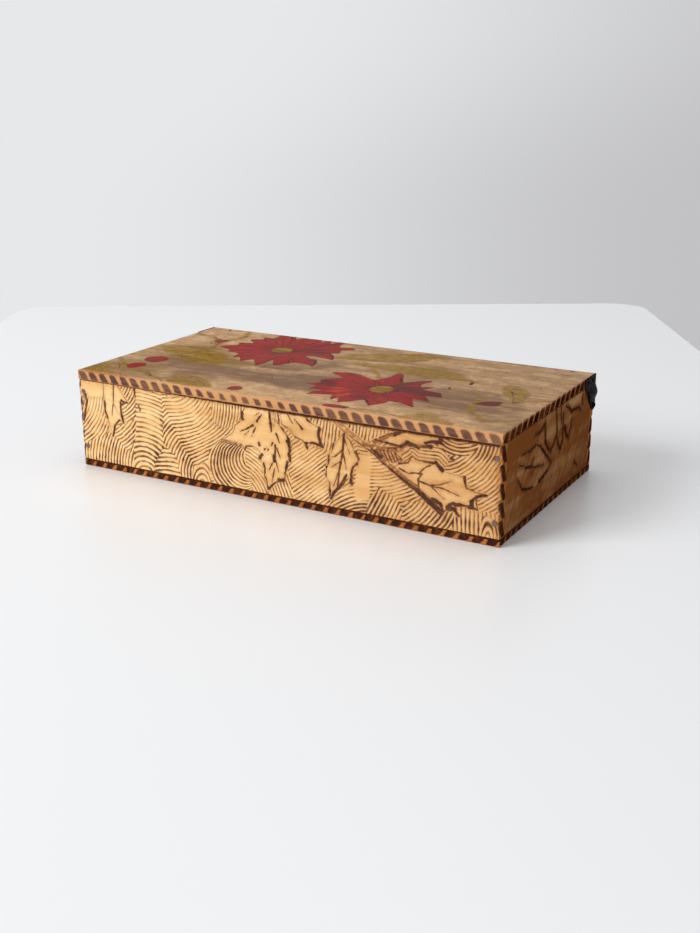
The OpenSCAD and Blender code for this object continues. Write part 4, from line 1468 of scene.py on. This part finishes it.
    def fields(self, face: Face) -> tuple[Fields, np.ndarray]:
        """The sprays, their veins and the echo lines."""
        hand = face.unsteady(0.22, 1)
        leaf = hand.patches(FRONT_LEAVES)
        swing = face.cloud(4.5, 12)
        cast = hand.shifted(0.8, 0.6).patches(FRONT_LEAVES) + 0.25 - 0.7 * swing
        stem = hand.stroke(FRONT_STEM, 3.0, 2.0)
        shade = hand.shifted(-0.9, 1.1).stroke(FRONT_STEM[2:], 0.9, 1.9) + 0.5 * swing
        branch = hand.strokes(FRONT_BRANCH)
        rough = face.cloud(1.8, 14)
        ink = np.minimum(np.abs(leaf) - 0.16 - 0.14 * face.cloud(5, 15), np.maximum(cast, -leaf))
        veins = hand.strokes(FRONT_VEINS) + 0.05 + 0.2 * rough
        blots = hand.strokes(FRONT_BLOTS) + 0.12 + 0.4 * rough
        ink = np.minimum.reduce([ink, veins, blots, np.abs(stem) - 0.2, shade])
        ink = np.minimum(ink, np.maximum(branch, face.cloud(1.6, 13) + 0.25))
        scallop = np.abs((face.x / 8.1 + 0.3 * swing) % 1 - 0.5) * 2
        # Painted shadow: a dark burnt-colour line along the top edge, widening to the right and scalloped
        # like the lid's notches, stands in for the shadow in the gap under the lid. The face is also cut in
        # there.
        gap = face.y - 0.3 - 0.95 * ease(face.x, 60, 150)
        gap = gap - 0.3 * scallop * ease(face.x, 20, 120) - 0.15 * rough
        ink = np.minimum.reduce([ink, gap + 3 * ease(face.x, 289.5, 291.5), self.corner_burns(face)])
        small = hand.patch(SMALL_LEAF)
        keep_off = np.minimum.reduce([leaf, stem, branch, small])
        numbers = self.echo.fields(
            self.echo.pitch * self.echoes(face.unsteady(0.34, 5)), self.pressure(face), keep_off
        )
        hatch = np.abs((face.rays(-28) / 2.0) % 1 - 0.5) * 2.0 - 0.45
        ink = np.minimum.reduce([ink, np.maximum(hatch, small), np.abs(small) - 0.2])
        numbers["ink"] = ink
        under = hand.patch([(111, 23.4), (125.4, 24), (128, 27.4), (122, 26), (110, 25.6)])
        fork = hand.patches([
            [(145, -2), (151.4, -2), (150.6, 8), (147, 13.6)],
            [(206, 12), (214, 8.6), (228, 9), (236, 12), (216, 17)],
        ])
        numbers["wash"] = np.maximum.reduce([
            (1.1 + 0.8 * ease(face.x, 208, 222)) * ease(stem, 0.5, -0.4),
            0.5 * ease(face.stroke([(103, 14), (112, 16), (120, 16)]), 5, 0),
            2.2 * ease(branch, 0.9, -0.4), 0.4 * ease(ink, 3.0, 0.0), 1.3 * ease(small, 0.4, -0.4),
            0.8 * ease(fork, 2.0, -1.0), 1.2 * ease(under, 1.0, -0.4), 0.5 * ease(shade, 1.4, 0.0),
        ])
        # Painted shade: the brown share rises from left to right, standing in for the light falling off
        # across the front. It also rises in a band along the top edge and near both ends, and varies at
        # random.
        numbers["stain_and_shade"] = 0.02 + 0.5 * ease(face.x, 10, 300) + 0.3 * ease(face.y + 0.8 * swing, 3.2, 0.2)
        numbers["stain_and_shade"] += 0.14 * face.cloud(9, 16)
        numbers["stain_and_shade"] += 0.3 * ease(np.minimum(face.x, 290.5 - face.x) + swing, 2.5, 0)
        depth = self.echo.groove(numbers) + self.ink_cut * ease(numbers["ink"], 0.2, -0.4)
        depth += 0.8 * ease(gap, 0.1, -0.4)
        return numbers, self.sink_nails(face, numbers, depth)


@dataclass
class BackBoard(LongBoard):
    """The back board, which isn't in the photograph: leaves and echo lines in the manner of the front."""

    side: int = 1
    notches: int = 3

    def fields(self, face: Face) -> tuple[Fields, np.ndarray]:
        """Three leaves, their veins, and echo lines that follow them."""
        hand = face.unsteady(0.25, 41)
        leaves, veins = sprays([(34, 30, -12, False), (128, 27, 8, False), (250, 24, -6, True)])
        leaf = hand.patches(leaves)
        cast = hand.shifted(0.7, 0.6).patches(leaves)
        stem = hand.strokes([
            ([(-2, 44), (14, 36, -0.06), (34, 30)], 2.2, 1.4),
            ([(92, 12, 0.08), (112, 24, 0.05), (128, 27)], 2.0, 1.2),
            ([(294, 10, 0.06), (270, 22, 0.04), (250, 24)], 2.2, 1.3),
        ])
        ink = np.minimum(np.abs(leaf) - 0.22, np.maximum(cast - 0.2, -leaf))
        ink = np.minimum.reduce([ink, hand.strokes(veins), np.abs(stem) - 0.2])
        spray = np.minimum(leaf, stem)
        echo = face.unsteady(0.34, 45)
        level = [spray + 0.4 * face.cloud(9, 47), echo.ring(88, 66) - 6, echo.ring(206, 70) - 9]
        numbers = self.echo.fields(np.minimum.reduce(level), 0.1 * face.cloud(14, 49), spray)
        numbers["ink"] = np.minimum(ink, self.corner_burns(face))
        numbers["wash"] = 0.85 * ease(stem, 0.3, -0.4)
        depth = self.echo.groove(numbers) + self.ink_cut * ease(ink, 0.2, -0.4)
        return numbers, self.sink_nails(face, numbers, depth)


@dataclass
class EndBoard(Board):
    """An end board, stained brown, with burnt leaves.

    Attributes:
        leaves: Outlines of its leaves.
        marks: Its burnt strokes.
        light: Outlines that the stain leaves lighter.
        seed: Picks its stain and its hand.
        ink_cut: How deep the strokes are burnt in.
        echo: Its echo lines.
    """

    leaves: list[Marks] = field(default_factory=list)
    marks: list[tuple[Marks, float, float]] = field(default_factory=list)
    light: list[Marks] = field(default_factory=list)
    seed: int = 60
    ink_cut: float = 0.25
    echo: EchoLines = field(default_factory=lambda: EchoLines(width=0.5, cut=0.12))

    def fields(self, face: Face) -> tuple[Fields, np.ndarray]:
        """The leaves, the strokes, the stain and faint echo lines low at the back."""
        hand = face.unsteady(0.25, self.seed)
        leaf = hand.patches(self.leaves)
        ink = hand.strokes(self.marks)
        level = face.unsteady(0.5, self.seed + 3).rays(62)
        keep = np.minimum(leaf, 20 - face.ring(124, 48))
        numbers = self.echo.fields(level, -0.15 + 0.2 * face.cloud(6, self.seed + 5), keep)
        numbers["ink"] = ink - 0.05 + 0.35 * face.cloud(2.2, self.seed + 8)
        light = hand.patches(self.light)
        streaks = cloud(0.8 * face.x + 0.6 * face.y, (0.8 * face.y - 0.6 * face.x) / 6, 1.9, self.seed + 7)
        numbers["stain_and_shade"] = (
            0.95 + 0.06 * streaks - 0.12 * ease(leaf, 0.6, -0.6) - 0.24 * ease(light, 1.6, -1.6)
            - 0.08 * face.cloud(17, self.seed + 9) + 0.05 * face.cloud(3.5, self.seed + 10)
        )
        numbers["wash"] = 0.9 * ease(ink, 2.6, 0.0)
        return numbers, self.echo.groove(numbers) + self.ink_cut * ease(ink, 0.2, -0.4)


@dataclass
class LidBoard(Board):
    """The lid: two red flowers, buds and olive leaves over stippled wood, with a rope edge.

    Attributes:
        hearts: The middles of the back and the front flower.
        ink_cut: How deep the strokes and creases are burnt in.
    """

    hearts: tuple[tuple[float, float], ...] = ((85, 40), (193.5, 98.5))
    ink_cut: float = 0.12

    def notch(self, places: np.ndarray) -> np.ndarray:
        """Cuts the rope edge, as far back as the ear plates on the ends."""
        along = Notches(
            width=5.4, depth=0.55, fade=0.0, height=5.2, lean=-2.8,
            start=-HALF_LENGTH, stop=HALF_LENGTH, burnt=1.0, corner=1.5, reach=5.9,
        )
        ends = replace(
            along, lean=2.8, start=-HALF_DEPTH, stop=EAR_PLATE_FRONT, burnt=1.2, corner=1.3, reach=6.5
        )
        rim = self.notched(places, along, ends, places[:, 2] - RIM)
        middle_front = ease(np.abs(places[:, 0] + 20), 55, 20) * (places[:, 1] < 0)
        return rim + 0.8 * middle_front

    def petal_streaks(self, face: Face, x: float, y: float) -> np.ndarray:
        """Light and dark streaks that run out from the middle of one flower, from -1 to 1."""
        away = face.ring(x, y)
        around = np.arctan2(face.y - y, face.x - x) * 9
        return cloud(around, away / 22, 1.0, round(x)) * ease(away, 6, 12) * ease(away, 52, 44)

    def side_tone(self, places: np.ndarray) -> np.ndarray:
        """The ends are darker than the long sides: painted shade."""
        return ease(np.abs(places[:, 0]), HALF_LENGTH - 0.8, HALF_LENGTH - 0.4)

    def fields(self, face: Face) -> tuple[Fields, np.ndarray]:
        """The flowers, leaves, buds, strokes and stains."""
        hand = face.unsteady(0.4, 71)
        flowers = hand.patches([BACK_FLOWER, FRONT_FLOWER])
        buds = hand.patches(BUDS)
        red = np.minimum(flowers, buds)
        creases = hand.strokes([(marks, 0.5, 0.2) for marks in BACK_CREASES + FRONT_CREASES])
        shades = hand.strokes(BACK_SHADES + FRONT_SHADES)
        leaf = hand.patches(LID_LEAVES)
        stem = hand.strokes(LID_STEMS)
        back, front = self.hearts
        heart = np.minimum(face.ring(*back, wide=1.05), face.ring(*front, tall=1.1)) - 6.8
        ink = np.minimum(hand.strokes(LID_INK), np.maximum(shades, -heart))
        lights = [
            (1.25, face.ring(171, 113.5), 12, 2), (0.8, face.ring(179, 121), 7, 1), (-0.25, buds, 1, -1),
            (-0.7, face.ring(262, 97), 9, 5), (-0.5, face.ring(*back), 15, 9),
            (-0.45, face.ring(*front), 13, 8),
        ]
        lights += [(share, face.stroke(marks), start, end) for share, marks, start, end in LID_LIGHTS]
        tint = sum(share * ease(away, start, end) for share, away, start, end in lights)
        tint += 0.55 * sum(self.petal_streaks(face, *place) for place in self.hearts)
        tint += 0.3 * face.cloud(12, 77)
        band = 10 * cloud(face.x / 3, face.y, 12, 78)
        wash = np.maximum(
            0.95 * ease(np.abs(face.y - 105) - band, 24, 4) * ease(face.x, 12, 44) * ease(face.x, 250, 215),
            0.35 * ease(face.x, 20, 150) * ease(face.y, 140, 118),
        )
        for share, x, y, wide, ragged, start, end in LID_STAINS:
            wash = np.maximum(wash, share * ease(face.ring(x, y, wide) + ragged * band, start, end))
        wash += 0.2 * cloud(face.x / 9, face.y, 3.0, 81) + 0.16 * face.cloud(5, 83)
        wash = np.maximum(wash, 0.45 * ease(face.ring(24, 134) + band, 44, 20))
        wash += 0.02 - 0.5 * ease(face.ring(150, 134, wide=4), 13, 5)
        wash += 0.6 * ease(face.stroke([(134, 94, 0.04), (160, 97)]), 5, 1)
        wash += 0.5 * ease(face.stroke([(132, 115), (158, 113)]), 4, 1)
        brown = 0.45 + 0.45 * ease(face.x, 10, 45)
        numbers = {
            "red": red, "heart": heart, "tint": tint, "wash": wash, "ink": ink,
            "petal": np.minimum(np.abs(red), np.maximum(creases, red)),
            "olive": np.minimum(leaf, stem),
            "stain_and_shade": np.maximum(
                brown * ease(face.ring(34, 82, 2.2, 1.2) + band, 28, 10),
                0.7 * ease(face.ring(20, 138) + band, 40, 12),
            ),
            "worn": np.maximum(
                ease(face.y, 146.6, 147.6), 0.7 * ease(face.y + 2 * face.cloud(6, 80), 145.4, 148)
            ),
        }
        return numbers, self.ink_cut * ease(np.minimum(numbers["petal"], ink), 0.5, -0.3)


@dataclass
class BaseBoard(Board):
    """The base, whose burnt rope edge shows all round under the walls."""

    def notch(self, places: np.ndarray) -> np.ndarray:
        """Cuts the rope edge, and burns the line along its top."""
        up = BASE_TOP - places[:, 2]
        along = Notches(
            width=6.6, depth=0.7, fade=0.3, height=BASE_TOP, lean=-2.8,
            start=-HALF_LENGTH, stop=HALF_LENGTH, burnt=0.86,
        )
        ends = replace(along, start=-HALF_DEPTH, stop=HALF_DEPTH, burnt=0.95)
        line = up - 1.1 - 0.5 * cloud(places[:, 0] + places[:, 1], up, 4, 17)
        return np.minimum(self.notched(places, along, ends, up), line)


@dataclass
class EarPlate:
    """A bowed steel ear plate whose cut edges are rounded.

    Attributes:
        name: Name of the piece.
        node: The CAD node that it stands for.
        rounding: Radius of its edges, in metres.
    """

    name: str
    node: str
    rounding: float = 0.00022

    def build(self, solid: bpy.types.Object, steel: bpy.types.Material) -> bpy.types.Object:
        """Makes the plate from a merged copy of the solid.

        Args:
            solid: The CAD node's object.
            steel: The plate's finish.

        Returns:
            The plate's object, riding on the lid.
        """
        sheet = bmesh.new()
        sheet.from_mesh(solid.data)
        bmesh.ops.remove_doubles(sheet, verts=sheet.verts, dist=1e-6)
        bmesh.ops.dissolve_limit(sheet, angle_limit=math.radians(1), verts=sheet.verts, edges=sheet.edges)
        mesh = meshed(self.name, sheet)
        mesh.materials.append(steel)
        mesh.shade_smooth()
        plate = placed(self.name, mesh)
        bevel = plate.modifiers.new("rounded_edges", "BEVEL")
        bevel.width = self.rounding
        bevel.segments = 3
        bevel.limit_method = "ANGLE"
        bevel.angle_limit = SHARP
        bevel.harden_normals = True
        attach(plate, "lid")
        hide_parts(self.node)
        log.info("%s: stands for %s", self.name, self.node)
        return plate


@dataclass
class Fixings:
    """The nails and tacks, which stay the record's own solids and get their steel."""

    wire: tuple[str, ...] = (
        "front_nails_left", "front_nails_right", "back_nails_left", "back_nails_right",
        "base_nails_front", "base_nails_back", "base_nails_left", "base_nails_right",
    )
    black: tuple[str, ...] = (
        "left_pivot_nail", "right_pivot_nail", "left_hinge_tacks", "right_hinge_tacks",
    )

    def dress(self, nodes: dict, dull: bpy.types.Material, blackened: bpy.types.Material) -> None:
        """Gives each fixing its finish."""
        for names, steel in ((self.wire, dull), (self.black, blackened)):
            for name in names:
                nodes[name].data.materials.clear()
                nodes[name].data.materials.append(steel)
                log.info("%s: dressed in %s", name, steel.name)


@dataclass
class Table:
    """The pale table top, which isn't part of the object, in metres.

    Attributes:
        width: Its width.
        depth: Its length away from the camera.
        thick: Its thickness.
        corner: Radius of its corners.
        far_edge: Distance of its far edge from the camera.
        shift: How far it is moved to the left.
    """

    width: float = 0.68
    depth: float = 2.4
    thick: float = 0.03
    corner: float = 0.035
    far_edge: float = 1.27
    shift: float = 0.02

    def top(self) -> bmesh.types.BMesh:
        """The top with rounded corners, about its own middle."""
        top = bmesh.new()
        bmesh.ops.create_grid(top, x_segments=1, y_segments=1, size=0.5)
        bmesh.ops.scale(top, vec=Vector((self.width, self.depth, 1)), verts=top.verts)
        bmesh.ops.bevel(
            top, geom=top.verts[:], offset=self.corner, affect="VERTICES", segments=16, profile=0.5,
            material=-1,
        )
        grown = bmesh.ops.extrude_face_region(top, geom=top.faces[:])["geom"]
        under = [g for g in grown if isinstance(g, bmesh.types.BMVert)]
        bmesh.ops.translate(top, vec=Vector((0, 0, -self.thick)), verts=under)
        bmesh.ops.recalc_face_normals(top, faces=top.faces)
        return top


@dataclass
class Studio:
    """The table, the backdrop, the lamps and the camera.

    Attributes:
        turn: The camera's turn about Z.
        tilt: How far it looks down.
        roll: Its roll.
        place: Where it stands.
        focal_share: Its focal length as a share of the picture's height.
        room: Linear colour of the room's even light.
        wall: Colours of the wall that the camera sees, at its left and at its right, the darker right being
            painted shade.
        floor: The table.
    """

    turn: float = math.radians(-29.81)
    tilt: float = math.radians(18.75)
    roll: float = math.radians(-0.317)
    place: tuple[float, float, float] = (0.3630, -0.6136, 0.2425)
    focal_share: float = 1159.2 / 933
    room: tuple[float, float, float, float] = (0.3, 0.3, 0.305, 1.0)
    wall: tuple[Colour, Colour] = ((231, 232, 234), (194, 194, 197))
    floor: Table = field(default_factory=Table)

    def __post_init__(self) -> None:
        """Works out the camera's right and its way ahead over the table."""
        self.right = Vector((math.cos(self.turn), -math.sin(self.turn), 0))
        self.ahead = Vector((math.sin(self.turn), math.cos(self.turn), 0))

    def camera(self) -> None:
        """Stands the camera where the photograph was taken from."""
        data = bpy.data.cameras.new("camera")
        data.sensor_fit = "VERTICAL"
        data.sensor_height = 36
        data.lens = 36 * self.focal_share
        data.clip_start = 0.01
        flat = math.cos(self.tilt)
        ahead = Vector((math.sin(self.turn) * flat, math.cos(self.turn) * flat, -math.sin(self.tilt)))
        up = self.right.cross(ahead)
        level = Matrix((self.right, up, -ahead)).transposed()
        turned = (level @ Matrix.Rotation(self.roll, 3, "Z")).to_4x4()
        camera = placed("camera", data)
        camera.matrix_world = Matrix.Translation(self.place) @ turned
        bpy.context.scene.camera = camera

    def lamp(self, name: str, place: tuple[float, float, float], size: float, power: float) -> None:
        """Hangs a square lamp that looks at the box."""
        data = bpy.data.lights.new(name, "AREA")
        data.size = size
        data.energy = power
        aim = (Vector((0, 0, 0.03)) - Vector(place)).to_track_quat("-Z", "Y")
        placed(name, data).matrix_world = Matrix.Translation(place) @ aim.to_matrix().to_4x4()

    def lights(self) -> None:
        """A large window from the left, a softer one above, and an even grey room."""
        self.lamp("window", (-1.6, -2.2, 1.6), size=1.6, power=80)
        self.lamp("ceiling", (0.0, 0.4, 2.4), size=2.0, power=20)
        world = bpy.data.worlds.new("room")
        world.use_nodes = True
        t = Tree(world.node_tree)
        path = t.values("LightPath")
        seen = path["Is Camera Ray"].most(path["Is Glossy Ray"]).most(path["Is Transmission Ray"])
        way = t.value("Generated", "TexCoord")
        rise = t.value(2, "SeparateXYZ", {0: way})
        # Painted shade on the backdrop: the wall that the camera and reflections see is darker to the right
        # and lower down.
        across = t.value("Value", "VectorMath", {0: way, 1: self.right}, operation="DOT_PRODUCT")
        across = across - t.span(rise, -0.12, 0.055, 0.155)
        colour = t.blend(seen, self.room, t.blend(t.span(across, -0.25, 0.3), *self.wall))
        t.add("OutputWorld", {"Surface": t.value(0, "Background", {"Color": colour, "Strength": 1.0})})
        bpy.context.scene.world = world

    def table(self) -> None:
        """A glossy white table top, in line with the camera."""
        floor = self.floor
        top = floor.top()
        below = Vector((self.place[0], self.place[1], 0))
        centre = below + self.ahead * (floor.far_edge - floor.depth / 2) - self.right * floor.shift
        top.transform(Matrix.Translation(centre) @ Matrix.Rotation(-self.turn, 4, "Z"))
        mesh = meshed("table_top", top)
        mesh.materials.append(Finish("white_enamel").surface((243, 244, 245), 0.32))
        table = placed("table_top", mesh)


def main() -> None:
    """Loads the frame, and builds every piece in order."""
    logging.basicConfig(level=logging.INFO, format="%(message)s")
    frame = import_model()
    bpy.context.scene.view_settings.view_transform = "Standard"
    shop = Shop()
    # The burnt wood's brown is stain on the end grain, and painted shade across the front face.
    burnt = BurntWood("burnt_basswood", stain_and_shade=(186, 120, 50)).material(shop)
    stained = BurntWood(
        "stained_basswood", grain=Grain.ALONG_DEPTH, gloss=0.0,
        stain_and_shade=(136, 80, 40), toast=(84, 46, 26), char=(66, 36, 24),
    ).material(shop)
    foot = BurntWood(
        "burnt_foot", pale=(206, 134, 76), amber=(176, 106, 56), char=(56, 30, 22)
    ).material(shop)
    painted = PaintedWood().material(shop)
    bare = BareWood().material(shop)
    # Painted sheen: the blackened steel keeps little true reflection, and its grey patches stand partly for
    # its sheen.
    blackened = Steel(
        "blackened_steel", skin=(15, 14, 13), worn_and_sheen=(60, 60, 58), worn_and_sheen_share=0.3, metal=0.1, shine=0.02
    ).material(shop)
    dull = Steel(
        "dull_wire_steel", skin=(112, 100, 92), worn_and_sheen=(146, 134, 124), worn_and_sheen_share=0.4, metal=0.35
    ).material(shop)

    BaseBoard(
        "burnt_base_board", "base_board", "base_wood", "box", Facing.UP,
        spacing=0.6, rounding=0.6, rows=7, plain_face=True, hollow=0.15,
    ).build(foot, bare)
    FrontBoard(
        "burnt_front_board", "front_board", "wall_wood", "box", Facing.FRONT,
        spacing=0.45, rounding=0.3, rows=12,
    ).build(burnt, bare)
    BackBoard(
        "burnt_back_board", "back_board", "wall_wood", "box", Facing.BACK,
        spacing=0.5, rounding=0.3, rows=12,
    ).build(burnt, bare)
    EndBoard(
        "stained_right_end", "right_end_board", "end_wood", "box", Facing.RIGHT,
        spacing=0.45, rounding=0.15, rows=2,
        leaves=[END_LEAF, END_PETALS], marks=END_STROKES, light=[END_LIGHT],
    ).build(stained, bare)
    leaves, veins = sprays([(24, 26, -6), (84, 30, 12)])
    outlines = [(leaf + leaf[:1], 0.7, 0.7) for leaf in leaves]
    EndBoard(
        "stained_left_end", "left_end_board", "end_wood", "box", Facing.LEFT,
        spacing=0.5, rounding=0.15, rows=2, seed=90,
        leaves=leaves, marks=outlines + veins, light=[moved(END_LIGHT, -60, 0)],
    ).build(stained, bare)
    LidBoard(
        "painted_lid_board", "lid_board", "lid_wood", "lid", Facing.UP, spacing=0.74, rounding=0.6
    ).build(painted, bare)
    for side in ("left", "right"):
        solid = frame["nodes"][f"{side}_hinge_plate"]
        EarPlate(f"{side}_ear_plate", f"{side}_hinge_plate").build(solid, blackened)
    Fixings().dress(frame["nodes"], dull, blackened)

    studio = Studio()
    studio.table()
    studio.lights()
    studio.camera()


if __name__ == "__main__":
    main()
